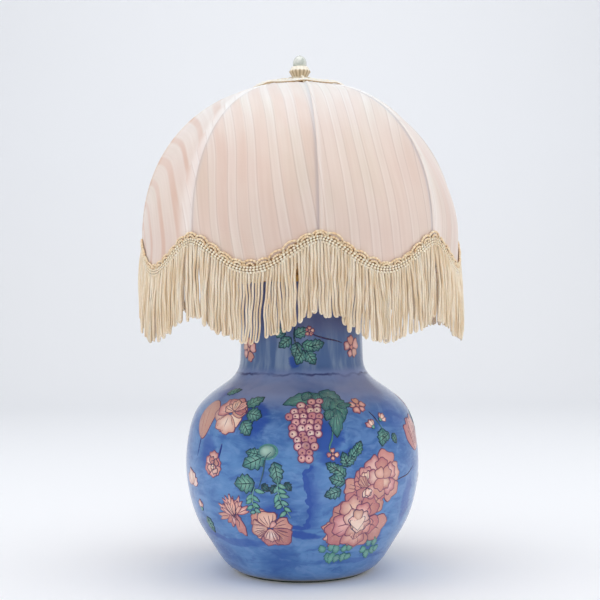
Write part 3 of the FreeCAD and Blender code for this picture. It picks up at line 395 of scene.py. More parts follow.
def shade_outline():
    """Radius, height, length along, and outward normal of a wire's outline, as dense arrays."""
    power = 2 / EXPONENT
    first = math.asin((RING_RADIUS / SHADE_RADIUS) ** (1 / power))
    turn = np.linspace(first, math.pi / 2, DOME_STEPS)
    r = SHADE_RADIUS * np.sin(turn) ** power
    z = SPRING_HEIGHT + CROWN_RISE * np.maximum(np.cos(turn), 0) ** power
    drop = np.linspace(0, HEM_DEPTH + FRINGE_LENGTH + BRAID_WIDTH + FRINGE_SPARE, DROP_STEPS)[1:]
    r = np.r_[r, SHADE_RADIUS - TUCK * np.minimum(2 * drop / drop[-1], 1)]
    z = np.r_[z, SPRING_HEIGHT - drop]
    length = np.r_[0, np.cumsum(np.hypot(np.diff(r), np.diff(z)))]
    return r, z, length, -np.gradient(z, length), np.gradient(r, length)


RIB_R, RIB_Z, RIB_LENGTH, RIB_OUT_R, RIB_OUT_Z = shade_outline()


def length_at(height):
    """Length along the outline from the crown ring to a height."""
    return np.interp(-np.asarray(height), -RIB_Z, RIB_LENGTH)


def hem_height(turn):
    """Height of the hem's centre line at a turn from the first wire: a wave raised to a power."""
    wave = (1 - np.cos(GORES * np.asarray(turn))) / 2
    return HEM_CREST - HEM_DEPTH * wave ** HEM_POWER


def outward_ways(turn):
    """Level unit vectors that point away from the axis, at turns from the first wire."""
    return np.stack([np.sin(turn + SHADE_TURN), -np.cos(turn + SHADE_TURN), turn * 0], -1)


FREE_LENGTH = float(length_at(HEM_CREST + BRAID_WIDTH / 2))


def on_shade(turn, length, outward):
    """Places on the shade at turns from the first wire, lengths from the ring, and outward offsets.

    Between the wires the cloth is drawn towards the flat chord, by cos(half gore) / cos(turn from the
    middle of the gore), times sin(pi x)^2, where x is the share of the way from ring to hem.
    """
    turn, length, outward = np.broadcast_arrays(turn, length, outward)
    r, z, out_r, out_z = (
        np.interp(length, RIB_LENGTH, known) for known in (RIB_R, RIB_Z, RIB_OUT_R, RIB_OUT_Z)
    )
    taut = np.sin(math.pi * np.clip(length / FREE_LENGTH, 0, 1)) ** 2
    chord = math.cos(HALF_GORE) / np.cos(turn % (2 * HALF_GORE) - HALF_GORE)
    r = r * (1 - taut * (1 - chord)) + out_r * outward
    z = z + out_z * outward
    around = turn + SHADE_TURN
    return np.stack([r * np.sin(around), -r * np.cos(around), z], -1)


print("outline length", round(float(RIB_LENGTH[-1]), 3), "m, free cloth to", round(FREE_LENGTH, 3), "m")

# %% [markdown]
# ## Striped satin
# The cover is satin woven with coral stripes and fine dotted lines. Each gore was cut with its stripes
# parallel to one seam, so they run out at the other. The cloth's UV map holds the distance from that
# seam in metres, and the finish draws the stripes, the dots and the fine crosswise ribs from it.

# %% Satin finish
STRIPE_PERIOD = 78 * MM
STRIPES = ((13, 6.5, 1.0), (39, 7.5, 0.8), (65, 6.0, 0.95))  # middle and half width in mm, and depth
EDGE_OUT, EDGE_IN, STRONG_LESS_WIDE = 2.0, 1.6, 3.2
DOTTED_LINES = (5.5, 20.5, 31.0, 47.0, 58.0, 72.0)
WHITE_LINES = (3.6, 22.4, 49.0, 73.8)
DOT_PITCH = 2.4 * MM
RIB_PITCH = 1.7 * MM
STRIPE_WANDER = 9 * MM


def satin_finish():
    """The paint's colour is painted shade and highlight on the cloth, and its alpha is the strength of the
    stripes.
    """
    finish = Finish("striped_satin", Sheen_Weight=0.35, Sheen_Roughness=0.4)
    across, down, _ = finish.split(finish.cloth())
    bent = across + (finish.cloth_noise(6, 5, 2) - 0.5) * STRIPE_WANDER
    phase = (bent * (1 / STRIPE_PERIOD)).math("FRACT") * (STRIPE_PERIOD / MM)
    strength = finish.paint("Alpha")
    narrow = strength.ramp(0.6, 0.75) * STRONG_LESS_WIDE
    stripe = lines = white = phase * 0.0
    for middle, half, depth in STRIPES:
        stripe = stripe + (phase.off(middle) + narrow).ramp(half + EDGE_OUT, half - EDGE_IN) * depth
    for middle in DOTTED_LINES:
        lines = lines + phase.off(middle).ramp(0.8, 0.3)
    for middle in WHITE_LINES:
        white = white + phase.off(middle).ramp(1.0, 0.2)
    lines = lines * (down * (TAU / DOT_PITCH)).math("SINE").ramp(-0.5, 0.5, 0.2, 1.0)
    streaks, blotch = finish.cloth_noise(260, 9), finish.cloth_noise(14, 9)
    worn = finish.cloth_noise(30, 11, 2).ramp(0.3, 0.65, 0.45, 1.0)
    drawn = strength.ramp(0.7, 0.4, 0.12, 1.0)
    colour = finish.layered(
        finish.blend(streaks.ramp(0.3, 0.75), srgb(218, 199, 187), srgb(226, 209, 198)),
        (blotch.ramp(0.35, 0.75, 0.0, 0.6), srgb(218, 194, 184)),
        (blotch.ramp(0.5, 0.3, 0.0, 0.35), srgb(212, 198, 181)),
        (stripe * worn * strength, srgb(210, 172, 153)),
        (white * drawn * 0.14, srgb(244, 238, 234)),
        (lines * drawn * 0.45, srgb(176, 144, 132)),
        # The paint's colour is painted light: shade in the creases and by the seams, highlights on welts and
        # crown.
        (1.0, finish.paint(), "MULTIPLY"),
    )
    ribs = (down * (TAU / RIB_PITCH)).math("SINE")
    fine = finish.cloth_noise(900, 240, 2)
    relief = ribs * 0.25 + fine * 0.5 + stripe * 0.4 + lines * 0.6 + blotch * 2.0
    return finish.done(colour, stripe * -0.1 + streaks * 0.1 + 0.5, relief, 0.12 * MM, 0.6)


satin = satin_finish()
print("stripes each", round(STRIPE_PERIOD / MM), "mm")

# %% [markdown]
# ## The cover
# The eight gores are sewn over the wires into one sheet. Just beside each wire the cloth of the next
# gore laps over in a soft welt with a painted highlight, and the near side falls in a crease with painted
# shade.
# Shallow pulls run down from the ring, because satin stretched over a dome never lies quite even.

# %% Cover
COVER_COLUMNS, COVER_ROWS = 36, 90
COVER_TOP = 2.0 * MM
SEAM_CROWDING = 0.138
WELT_HEIGHT, WELT_WIDTH, WELT_MIDDLE, WELT_SPREAD = 1.3 * MM, 4.0 * MM, 0.55, 0.42
CREASE_DEPTH, CREASE_WIDTH, FAINT_CREASE = 0.7 * MM, 3.6 * MM, 0.25
# One gore has a deeper crease at its left seam, with more painted shade in it, and a weaker welt.
DARK_CREASE, DARK_WIDTH, DARK_WELT = 0.8, 2.6 * MM, 0.2
# Painted shade in the creases: how much of red, green and blue each crease takes out.
PAINTED_CREASE_SHADE = np.array([0.21, 0.17, 0.08])
PULL_HEIGHT, PULL_REACH = 0.6 * MM, 70 * MM
# Painted shade beside each seam: how much it darkens the cloth and how far it reaches.
SEAM_SHADE, SEAM_REACH = 0.06, 9 * MM
# Painted highlight on the welts and, on two gores, in a broad band along one seam where the light catches
# the curve.
HIGHLIGHT_BAND = 20.0 * MM
PAINTED_SEAM_HIGHLIGHT = np.array([0.12, 0.21, 0.28])
# Painted highlight near the crown, where light from above falls strongest: its reach, then its strength in
# red, green and blue.
CROWN_HIGHLIGHT_REACH = 115.0 * MM
CROWN_HIGHLIGHT = np.array([0.10, 0.29, 0.43])
HIGHLIGHT_ON_RIGHT, HIGHLIGHT_ON_LEFT, SHADED_ON_LEFT = 6, 1, 7
STRIPE_SHIFT = (12, 60, 31, 5, 44, 20, 14, 73)
STRIPE_STRENGTH = (0.18, 0.3, 0.4, 0.45, 0.4, 0.45, 1.0, 0.38)
SLANTED, SLANT, SLANT_REACH, DRIFT = 7, 24 * MM, 100 * MM, 0.1
ARCHED, ARCH_MIDDLE, ARCH_FOOT, ARCH_FLATTEN = 6, 147 * MM, 385 * MM, 1.25


def stripe_distance(gore, from_left, from_right, height, above_hem):
    """Distance across the stripes.

    Most gores were cut along a seam, the odd ones along their right, and drift a tenth over their
    length. One was cut on a slant, so its stripes lean 24 mm (1 - exp(-h / 100 mm)), and one so far
    off the grain that they arch in quarter ellipses, u^2 = ((d - middle) / 1.25)^2 + (z - foot)^2.
    """
    if gore == ARCHED:
        return np.hypot((from_right - ARCH_MIDDLE) / ARCH_FLATTEN, height - ARCH_FOOT)
    if gore == SLANTED:
        return from_right - SLANT * (1 - np.exp(-above_hem / SLANT_REACH))
    return (from_right if gore % 2 else from_left) + DRIFT * above_hem


def cover_grid(outward, relief):
    """Places, shading and cloth coordinates of the cover, gore by gore and closed all round.

    The columns crowd at both seams, so that the welt and the crease are crisp.
    """
    even = np.linspace(0, 1, COVER_COLUMNS + 1)[:-1]
    shares = even - SEAM_CROWDING * np.sin(TAU * even)
    down = np.linspace(0, 1, COVER_ROWS)[:, None] ** 0.9
    places, shade, cloth = [], [], []
    for gore in range(GORES):
        turn = (gore + shares) * 2 * HALF_GORE
        last = length_at(hem_height(turn) - BRAID_WIDTH / 3)
        length = COVER_TOP + (last - COVER_TOP) * down
        width = np.interp(length, RIB_LENGTH, RIB_R) * 2 * HALF_GORE
        left, right = shares * width, (1 - shares) * width
        welt = np.exp(-((left / WELT_WIDTH - WELT_MIDDLE) / WELT_SPREAD) ** 2)
        crease = np.exp(-(right / CREASE_WIDTH) ** 4) * (FAINT_CREASE if gore == HIGHLIGHT_ON_RIGHT else 1.0)
        # The deeper crease on this gore's left seam also gets more painted shade.
        if gore == SHADED_ON_LEFT:
            crease = crease + DARK_CREASE * np.exp(-(left / DARK_WIDTH) ** 2)
            welt = welt * DARK_WELT
        # Painted highlight: half of each welt, or on two gores a band along one seam; the stripes fade under
        # it.
        pale = 0.5 * welt
        if gore in (HIGHLIGHT_ON_RIGHT, HIGHLIGHT_ON_LEFT):
            pale = np.exp(-((right if gore == HIGHLIGHT_ON_RIGHT else left) / HIGHLIGHT_BAND) ** 4)
        pulls = 0.5 * np.sin(shares * 31 + gore * 2.1) * np.exp(-length / PULL_REACH)
        pulls = pulls + 0.35 * np.sin(shares * 9 + length * 14 + gore) * np.sin(math.pi * shares)
        lift = (WELT_HEIGHT * welt - CREASE_DEPTH * crease + pulls * PULL_HEIGHT) * relief
        places.append(on_shade(turn, length, outward + lift))
        # Painted shade towards the seam at the gore's right, except on the gore with a highlight there.
        near_seam = SEAM_SHADE * np.exp(-right / SEAM_REACH) * (gore != HIGHLIGHT_ON_RIGHT)
        near_crown = np.exp(-(length / CROWN_HIGHLIGHT_REACH) ** 3)
        # Painted shade in the creases, deeper towards the hem.
        colour = 1 - near_seam[..., None] - crease[..., None] * PAINTED_CREASE_SHADE * (0.6 + 0.4 * down[..., None])
        # Painted highlights on the welts, on the bands by the seams and near the crown.
        colour = colour + pale[..., None] * PAINTED_SEAM_HIGHLIGHT + near_crown[..., None] * CROWN_HIGHLIGHT
        strength = STRIPE_STRENGTH[gore] * (1 + 0.5 * near_crown * (gore != ARCHED)) * (1 - 0.85 * pale)
        shade.append(np.concatenate([colour, strength[..., None]], -1))
        height = np.interp(length, RIB_LENGTH, RIB_Z)
        across = stripe_distance(gore, left, right, height, last - length) + STRIPE_SHIFT[gore] * MM
        cloth.append(np.stack([across, length], -1))
    return [np.concatenate(grids, 1) for grids in (places, shade, cloth)]


def flat_area(grid):
    """Area of a grid that is closed in its columns, from the cross products of its cells."""
    right = np.roll(grid, -1, axis=1) - grid
    return float(np.linalg.norm(np.cross(right[:-1], grid[1:] - grid[:-1]), axis=2).sum())


def make_cover():
    outer, light_and_stripes, cloth = cover_grid(0.0, 1.0)
    inner, inner_light_and_stripes, inner_cloth = cover_grid(-GORE_CLOTH, 0.6)
    all_light_and_stripes = np.concatenate([light_and_stripes.reshape(-1, 4), inner_light_and_stripes.reshape(-1, 4)])
    cloths = np.concatenate([cloth.reshape(-1, 2), inner_cloth.reshape(-1, 2)])
    covered = [f"shade_gore_{k + 1}" for k in range(GORES)]
    sheet = close_sheet(outer, inner)
    made = new_piece("shade_cover", *sheet, "shade", "satin_stripe", satin, all_light_and_stripes, cloths, covered)
    return made, flat_area(outer)


cover, cover_area = make_cover()
print("cloth area", round(cover_area, 4), "m2")

# %% [markdown]
# ## The lining
# Inside the wires hangs a plain lining, cut like the cover and gathered a little at the ring. It is
# seen only from below, but it closes the shade there and hides the wires as on the real one.

# %% Lining
LINING_INWARD = 6.0 * MM
LINING_CLOTH = 0.6 * MM
LINING_TOP = 12 * MM
LINING_COLUMNS, LINING_ROWS = GORES * 24, 60
GATHERS, GATHER_REACH, GATHER_HEIGHT = 120, 35 * MM, 0.5


def lining_finish():
    finish = Finish("lining_taffeta", Sheen_Weight=0.2, Sheen_Roughness=0.5)
    weave, soft = finish.cloth_noise(1400, 1400, 2), finish.cloth_noise(20, 12)
    colour = finish.blend(soft.ramp(0.3, 0.7), srgb(226, 212, 198), srgb(238, 227, 215))
    return finish.done(colour, weave * 0.2 + 0.6, weave + soft * 3, 0.1 * MM, 0.5)


def make_lining():
    turn = np.linspace(0, TAU, LINING_COLUMNS + 1)[:-1]
    drop = (length_at(hem_height(turn)) - LINING_TOP) * np.linspace(0, 1, LINING_ROWS)[:, None]
    length = LINING_TOP + drop
    gathers = np.sin(turn * GATHERS) * np.exp(-(length - LINING_TOP) / GATHER_REACH) * GATHER_HEIGHT * MM
    outer = on_shade(turn, length, gathers - LINING_INWARD)
    inner = on_shade(turn, length, gathers - LINING_INWARD - LINING_CLOTH)
    cloth = np.stack([np.broadcast_to(turn * SHADE_RADIUS, length.shape), length], -1).reshape(-1, 2)
    made = new_piece(
        "shade_inner_cover", *close_sheet(outer, inner), "shade", "lining_cloth", lining_finish(),
        cloth=np.concatenate([cloth, cloth]), replaces=["shade_lining"],
    )
    return made, flat_area(outer)


lining, lining_area = make_lining()
print("cloth area", round(lining_area, 4), "m2")

# %% [markdown]
# ## Braid and fringe
# The braid along the hem is a gimp: three rows of wrapped cord below, and shell loops above that stand
# up from them. All of it is thin cord, so it is made as tubes that follow the hem. The wrapping of each
# cord shows as a row of beads, and the cord's radius swells and narrows along it to give them.

# %% Cord finish
GIMP_PITCH, GIMP_RELIEF = 1.1 * MM, 0.1 * MM
# Painted shade in the dips between beads: the share of red, green and blue left there.
DIP_SHADE = np.array([0.50, 0.36, 0.22])
CORD_GLOW = {"Subsurface_Weight": 0.4, "Subsurface_Scale": 2.5 * MM, "Subsurface_Radius": (1.0, 0.8, 0.6)}


def cord_finish(name, pale, deep, pitch=GIMP_PITCH, relief=GIMP_RELIEF, painted=True):
    """Twisted cotton cord: slanted plies along the cord's own UV map, in metres, with painted shade between
    them.

    A painted one is multiplied by the piece's own tones, which paint shade into the dips between beads.
    """
    finish = Finish(name, Sheen_Weight=0.3, Sheen_Roughness=0.5, **CORD_GLOW)
    along, around, _ = finish.split(finish.cloth())
    ply = (along * (TAU / pitch) + around * TAU).math("SINE")
    tone = finish.noise(260, stretch=(1, 1, 0.12))
    fuzz = finish.noise(2600, 2)
    colour = finish.blend(tone.ramp(0.3, 0.66), deep, pale)
    # Painted shade in the grooves between the plies.
    colour = finish.blend(ply.ramp(0.2, -1.0, 0.0, 0.35), colour, tuple(c * 0.6 for c in deep))
    if painted:
        colour = finish.blend(1.0, colour, finish.paint(), "MULTIPLY")
    return finish.done(colour, fuzz * 0.2 + 0.7, ply * 0.6 + fuzz * 0.5, relief, 0.7)


gimp = cord_finish("gimp_cord", srgb(255, 246, 226), srgb(252, 230, 198))
pale_gimp = cord_finish("pale_gimp_cord", srgb(255, 252, 244), srgb(255, 245, 228))
# The tape's dark brown is partly painted shade: it shows in the gaps between the braid's cords.
tape = cord_finish("braid_tape", srgb(190, 146, 98), srgb(152, 108, 68), 1.2 * MM, 0.2 * MM, False)
golden_gimp = cord_finish("golden_gimp_cord", srgb(250, 230, 198), srgb(236, 202, 160))
chainette = cord_finish(
    "chainette_cord", srgb(245, 230, 209), srgb(220, 194, 159), 1.5 * MM, 0.15 * MM, False,
)


def bead_paint(swell, sides):
    """Tones of tubes, swell from 0 in the dips to 1 on the beads, with painted shade in the dips and end
    vertices last.
    """
    tone = DIP_SHADE + (1 - DIP_SHADE) * np.clip(swell, 0, 1)[..., None]
    rings = np.repeat(tone, sides, axis=1)
    return np.concatenate([rings, tone[:, [0, -1]]], axis=1).reshape(-1, 3)


def tube_cloth(paths, sides):
    """UV of tubes: length along each path and share around it, with the two end vertices last."""
    steps = np.linalg.norm(np.diff(paths, axis=1), axis=2)
    along = np.pad(np.cumsum(steps, axis=1), ((0, 0), (1, 0)))
    grid = np.stack(np.broadcast_arrays(along[:, :, None], np.arange(sides) / sides), -1)
    ends = np.stack([along[:, [0, -1]], np.zeros((len(paths), 2))], -1)
    return np.concatenate([grid.reshape(len(paths), -1, 2), ends], axis=1).reshape(-1, 2)


def on_hem(turn, rise, outward):
    """A place a given rise above the hem's centre line, square to its slope, and outward from the cloth."""
    step = 1e-4
    slope = (hem_height(turn + step) - hem_height(turn - step)) / (2 * step * SHADE_RADIUS)
    lean = 1 / np.sqrt(1 + slope ** 2)
    sideways = -slope * lean * rise / SHADE_RADIUS
    return on_shade(turn + sideways, length_at(hem_height(turn) + rise * lean), outward)


print("five kinds of cord")

# %% Gimp braid
HEADER_ROWS = (-6.2, -3.4, -0.6)
HEADER_STEPS = 3000
HEADER_CORD = 1.45 * MM
BEAD_PITCH = 3.9 * MM
BEAD_SHARPNESS = 0.7
TAPE_EDGES = (-7.4, 3.0)
TAPE_OUT, TAPE_THICKNESS = 0.5 * MM, 0.5 * MM
SHELL_COUNT = GORES * 10
SHELL_CORD = 1.25 * MM
SHELL_RISE = 6.2 * MM
SHELL_SIZES = (1.0, 0.55)
SHELL_BUMPS = 6
BRAID_OUT = 1.8 * MM
CORD_SIDES = 6


def make_header():
    """Three rows of cord whose beads are set half a bead off in the middle row."""
    around = np.linspace(0, TAU, HEADER_STEPS)
    rows = np.stack([on_hem(around, rise * MM, BRAID_OUT) for rise in HEADER_ROWS])
    length = np.linalg.norm(np.diff(rows[0], axis=0), axis=1).sum()
    phase = around / TAU * length / BEAD_PITCH * math.pi
    beads = np.abs(np.sin(phase + np.array([[0.0], [0.5], [0.0]]))) ** BEAD_SHARPNESS
    normals = np.broadcast_to(outward_ways(around), rows.shape)
    sheet = tubes(rows, HEADER_CORD * (0.30 + 0.70 * beads), CORD_SIDES, normals)
    # Painted shade in the dips between the beads.
    paint, cloth = bead_paint(beads * 1.5 - 0.35, CORD_SIDES), tube_cloth(rows, CORD_SIDES)
    return new_piece("hem_braid_header", *sheet, "shade", "gimp_braid", gimp, paint, cloth, ["hem_braid"])


def make_tape():
    """The flat woven tape behind the cords; its dark brown is partly painted shade in the gaps between them.
    """
    rim = np.linspace(0, TAU, 600, endpoint=False)
    edges = (np.linspace(*TAPE_EDGES, 4) * MM)[::-1]
    front = np.stack([on_hem(rim, edge, TAPE_OUT + TAPE_THICKNESS) for edge in edges])
    behind = np.stack([on_hem(rim, edge, TAPE_OUT) for edge in edges])
    cloth = np.stack(np.broadcast_arrays(rim * SHADE_RADIUS, edges[::-1, None]), -1).reshape(-1, 2)
    sheet = close_sheet(front, behind)
    return new_piece(
        "hem_braid_tape", *sheet, "shade", "gimp_braid", tape, cloth=np.concatenate([cloth, cloth]),
    )


def make_shells():
    """Arches of cord side by side, each with a smaller one inside it."""
    middle = np.arange(SHELL_COUNT)[:, None] * TAU / SHELL_COUNT
    along = np.linspace(0, math.pi, 25)
    ropes = []
    for size in SHELL_SIZES:
        reach = TAU / SHELL_COUNT * 0.54 * size * (1 + chance.normal(0, 0.07, (SHELL_COUNT, 1)))
        wobble = chance.normal(0, 0.7 * MM, (SHELL_COUNT, 1)) * size
        lift = np.sin(along) ** 0.8 * (SHELL_RISE * size + wobble) - 0.6 * MM
        outward = BRAID_OUT - 0.3 * MM + (1 - size) * 1.1 * MM + 0.5 * MM * np.sin(along)
        ropes.append(on_hem(middle - np.cos(along) * reach, lift, outward))
    ropes = np.concatenate(ropes)
    bumps = np.abs(np.sin(along * SHELL_BUMPS + chance.uniform(0, 1, (len(ropes), 1)))) ** BEAD_SHARPNESS
    sheet = tubes(ropes, SHELL_CORD * (0.62 + 0.48 * bumps), CORD_SIDES, ropes * (1, 1, 0))
    # Painted shade at the feet of each arch and in the dips between its bumps.
    paint = bead_paint(np.sin(along) ** 0.5 * 0.45 + bumps * 0.65, CORD_SIDES)
    cloth = tube_cloth(ropes, CORD_SIDES)
    return new_piece("hem_braid_shells", *sheet, "shade", "gimp_braid", golden_gimp, paint, cloth)


header, tape_band, shells = make_header(), make_tape(), make_shells()

# %% [markdown]
# ## The looped fringe
# Each strand is a chainette cord that hangs from the braid, turns at the bottom and goes back up, so
# the fringe ends in small round loops. The strands sway, cross and bunch a little, in waves that
# neighbours share, and each loop also has a lean and a length of its own.

# %% Fringe
FRINGE_LOOPS = 172
STRAND_RADIUS = 1.5 * MM
STRAND_SIDES = 5
HALF_GAP = 1.65 * MM
LEG_STEPS = np.array([0.0, 0.11, 0.22, 0.33, 0.44, 0.55, 0.66, 0.77, 0.86, 0.93])
INNER_SHARE = 0.85
# Turn and spread in degrees of the places where strands were lost, or where they are longer by mm.
THIN_PLACES = ((-19, 8), (25, 2.5), (150, 7), (230, 5))
LENGTH_CHANGES = ((45, 10, 10.0), (-45, 9, 6.0), (0, 8, 1.5), (112, 15, -13.0), (-112, 12, -6.0))


def near(turn, at, wide):
    """1 at a turn in degrees, falling to 0 beyond the given width."""
    return np.exp(-(((turn - math.radians(at) + math.pi) % TAU - math.pi) / math.radians(wide)) ** 2)


def thinness(turn):
    """From 0 to 1 where strands have been lost, in a few soft patches."""
    return np.minimum(sum(near(turn, at, wide) for at, wide in THIN_PLACES), 1)


def fringe_top(turn):
    """Height at which the strands leave the braid."""
    return hem_height(turn) - BRAID_WIDTH / 2 + 1.5 * MM


def fringe_paths(layer, loops, down, side):
    """Paths and radii of one layer's loops, a row for each, over shares of the way down and side."""
    start = loops + layer * TAU / FRINGE_LOOPS / 2
    kept = (1 - 0.05 * thinness(start), INNER_SHARE * (1 - 0.9 * thinness(start)))[layer]
    start = start[chance.random(FRINGE_LOOPS) < kept][:, None]
    each = start.shape
    long = FRINGE_LENGTH * (1 + chance.normal(0, 0.02, each)) - layer * 2 * MM
    long = long + sum(change * MM * near(start, at, wide) for at, wide, change in LENGTH_CHANGES)
    lean = chance.normal(0, 1.5 * MM, each) + 2.4 * MM * np.sin(start * 23)
    lean = lean + 1.2 * MM * np.sin(start * 61 + 1)
    waves = chance.uniform(0, TAU, each)
    sway = chance.normal(0, 0.9 * MM, each)
    cross = np.cos(chance.uniform(0, TAU, each) + down * chance.uniform(0, 3, each))
    shift = lean * down ** 1.3 + sway * np.sin(down * 4.4 + waves)
    shift = shift + 0.5 * MM * np.sin(down * 15 + waves * 3) * np.minimum(down * 3, 1)
    turn = start + HALF_GAP * side * (1 - 0.18 * down) / SHADE_RADIUS
    length = length_at(fringe_top(turn) - down * long)
    belly = 4.2 * MM * np.sin(np.clip(down * 1.35, 0, 1) * math.pi / 2) * (1 - 0.25 * down ** 3)
    rough = chance.normal(0, 0.8 * MM, each) * down
    outward = 1.9 * MM - layer * 1.7 * MM + belly * (1 - 0.22 * layer) + rough
    outward = outward + cross * side * 0.7 * MM * np.minimum(down * 4, 1)
    radius = STRAND_RADIUS * (1 - 0.3 * thinness(start) * down ** 0.5)
    return on_shade(turn + shift / SHADE_RADIUS, length, outward), radius


def make_fringe():
    loops = (np.arange(FRINGE_LOOPS) + chance.uniform(-0.12, 0.12, FRINGE_LOOPS)) * TAU / FRINGE_LOOPS
    round_end = np.linspace(-math.pi / 2, math.pi / 2, 5)
    end_share = HALF_GAP * 1.1 / FRINGE_LENGTH
    down = np.r_[LEG_STEPS, 1 - end_share + np.cos(round_end) * end_share, LEG_STEPS[::-1]]
    side = np.r_[-np.ones(len(LEG_STEPS)), np.sin(round_end), np.ones(len(LEG_STEPS))]
    layers = [fringe_paths(layer, loops, down, side) for layer in range(2)]
    names = (("fringe_outer_loops", ["shade_fringe"]), ("fringe_inner_loops", []))
    for (paths, radius), (name, covered) in zip(layers, names):
        sheet = tubes(paths, radius, STRAND_SIDES, paths * (1, 1, 0), flatten=0.85)
        cloth = tube_cloth(paths, STRAND_SIDES)
        yield new_piece(name, *sheet, "shade", "chainette", chainette, None, cloth, covered)


fringe = list(make_fringe())

# %% [markdown]
# The strands are sewn into a woven heading, which shows under the braid where strands are far apart.

# %% Heading of the fringe
HEADING_THREADS = 736
HEADING_DEPTHS = (0.0, 4.0, 8.0, 11.5)
HEADING_OUT = (0.7, -0.1)
THREAD_BULGE = 0.45 * MM


def make_heading():
    """A band of upright threads: each stands out as a half round, and ends at a slightly other height."""
    turn = np.linspace(0, TAU, HEADING_THREADS * 4, endpoint=False)
    thread = turn * HEADING_THREADS / TAU
    ragged = 1.2 * MM * np.sin(np.floor(thread) * 2.4) + 0.8 * MM * np.sin(turn * 37)
    depth = np.array(HEADING_DEPTHS)[:, None] * MM
    length = length_at(fringe_top(turn) - depth - ragged * (depth / depth.max()) ** 2)
    bulge = THREAD_BULGE * np.abs(np.sin(thread * math.pi))
    sheet = close_sheet(
        on_shade(turn, length, HEADING_OUT[0] * MM + bulge), on_shade(turn, length, HEADING_OUT[1] * MM),
    )
    cloth = np.stack(np.broadcast_arrays(depth, thread), -1).reshape(-1, 2)
    cloth = np.concatenate([cloth, cloth])
    new_piece("fringe_heading", *sheet, "shade", "chainette", chainette, None, cloth)


make_heading()

# %% [markdown]
# ## The braid at the crown
# A narrower gimp hides the raw edge where the gores gather on the ring.

# %% Crown braid
# Each row has a length from the ring, a height off the cloth, a radius in mm and a brightness.
# The first row, at brightness 0, is a dark cord laid in the braid's shadow: painted shadow.
CROWN_ROWS = ((3.6, 0.7, 0.75, 0.0), (2.6, 1.5, 1.0, 1.0), (0.8, 2.2, 1.1, 1.0))
CROWN_WAVE = 1.3 * MM
CROWN_SHELLS = 36
CROWN_SHELL_CORD = 0.95 * MM


def make_crown_rows():
    around = np.linspace(0, TAU, 900)
    wave = CROWN_WAVE * ((1 + np.cos(around * GORES)) / 2) ** 2
    rows = np.stack([on_shade(around, length * MM, out * MM + wave) for length, out, _, _ in CROWN_ROWS])
    beads = np.abs(np.sin(around * RING_RADIUS / BEAD_PITCH * math.pi)) ** BEAD_SHARPNESS
    radius, bright = np.array(CROWN_ROWS).T[2:, :, None]
    up = np.broadcast_to((0.0, 0.0, 1.0), rows.shape)
    sheet = tubes(rows, radius * MM * (0.7 + 0.3 * beads), CORD_SIDES, up)
    # Painted shade in the dips between beads, and along the whole dark first row.
    paint, cloth = bead_paint((beads + 0.6) * bright, CORD_SIDES), tube_cloth(rows, CORD_SIDES)
    looks = ("shade", "gimp_braid", pale_gimp, paint, cloth, ["crown_braid"])
    return new_piece("crown_braid_header", *sheet, *looks)


def make_crown_shells():
    middle = np.arange(CROWN_SHELLS)[:, None] * TAU / CROWN_SHELLS
    along = np.linspace(0, math.pi, 13)
    turn = middle - np.cos(along) * TAU / CROWN_SHELLS * 0.56
    out = 1.8 * MM + np.sin(along) ** 0.8 * 1.5 * MM + CROWN_WAVE * (1 + np.cos(turn * GORES)) / 4
    ropes = on_shade(turn, 0.3 * MM, out)
    sheet = tubes(ropes, CROWN_SHELL_CORD, CORD_SIDES, outward_ways(turn))
    # Painted shade at the feet of each shell, where it meets the cloth.
    paint = bead_paint(np.sin(along) ** 0.5 * np.ones((CROWN_SHELLS, 1)) + 0.3, CORD_SIDES)
    cloth = tube_cloth(ropes, CORD_SIDES)
    return new_piece("crown_braid_shells", *sheet, "shade", "gimp_braid", pale_gimp, paint, cloth)


crown_header, crown_shells = make_crown_rows(), make_crown_shells()

# %% [markdown]
# ## The vase's outline
# The painted motifs lie on the glaze, so their places are worked out on the vase's own outline: a
# cubic spline through the points where the thrown wall turns. A place on the vase is a turn round
# the axis and a length along the wall, and both are measured in millimetres about each motif.

# %% Outline of the vase
VASE_POINTS = np.array([
    (77.0, 1.6), (90.5, 9.5), (108.0, 33.7), (123.8, 60.0), (134.2, 90.1), (138.6, 122.0), (134.7, 167.0),
    (124.2, 194.5), (110.3, 209.2), (96.0, 219.9), (82.5, 230.1), (75.3, 242.0), (73.3, 258.2),
    (72.6, 292.6), (72.9, 325.0), (73.0, 343.2),
]) * MM
WALL_STEPS = 700


def smooth_curve(points, count):
    """A natural cubic spline through points, at even steps of its chord length.

    The second derivatives m solve h0 m0 + 2 (h0 + h1) m1 + h1 m2 = 6 (d1 - d0), where h are the
    steps and d the slopes of the chords, with m = 0 at both ends.
    """
    step = np.linalg.norm(np.diff(points, axis=0), axis=1)
    knots = np.r_[0, np.cumsum(step)]
    slope = np.diff(points, axis=0) / step[:, None]
    left, right = np.eye(len(points)), np.zeros_like(points)
    i = np.arange(1, len(points) - 1)
    left[i, i - 1], left[i, i], left[i, i + 1] = step[:-1], 2 * (step[:-1] + step[1:]), step[1:]
    right[1:-1] = 6 * np.diff(slope, axis=0)
    bend = np.linalg.solve(left, right)
    at = np.linspace(0, knots[-1], count)
    k = np.clip(np.searchsorted(knots, at) - 1, 0, len(points) - 2)
    h, before, after = step[k][:, None], (at - knots[k])[:, None], (knots[k + 1] - at)[:, None]
    curve = (bend[k] * after ** 3 + bend[k + 1] * before ** 3) / (6 * h)
    curve = curve + (points[k] / h - bend[k] * h / 6) * after
    return curve + (points[k + 1] / h - bend[k + 1] * h / 6) * before


WALL = smooth_curve(VASE_POINTS, WALL_STEPS)
WALL_LENGTH = np.r_[0, np.cumsum(np.linalg.norm(np.diff(WALL, axis=0), axis=1))]
WALL_WAY = np.gradient(WALL, WALL_LENGTH, axis=0)


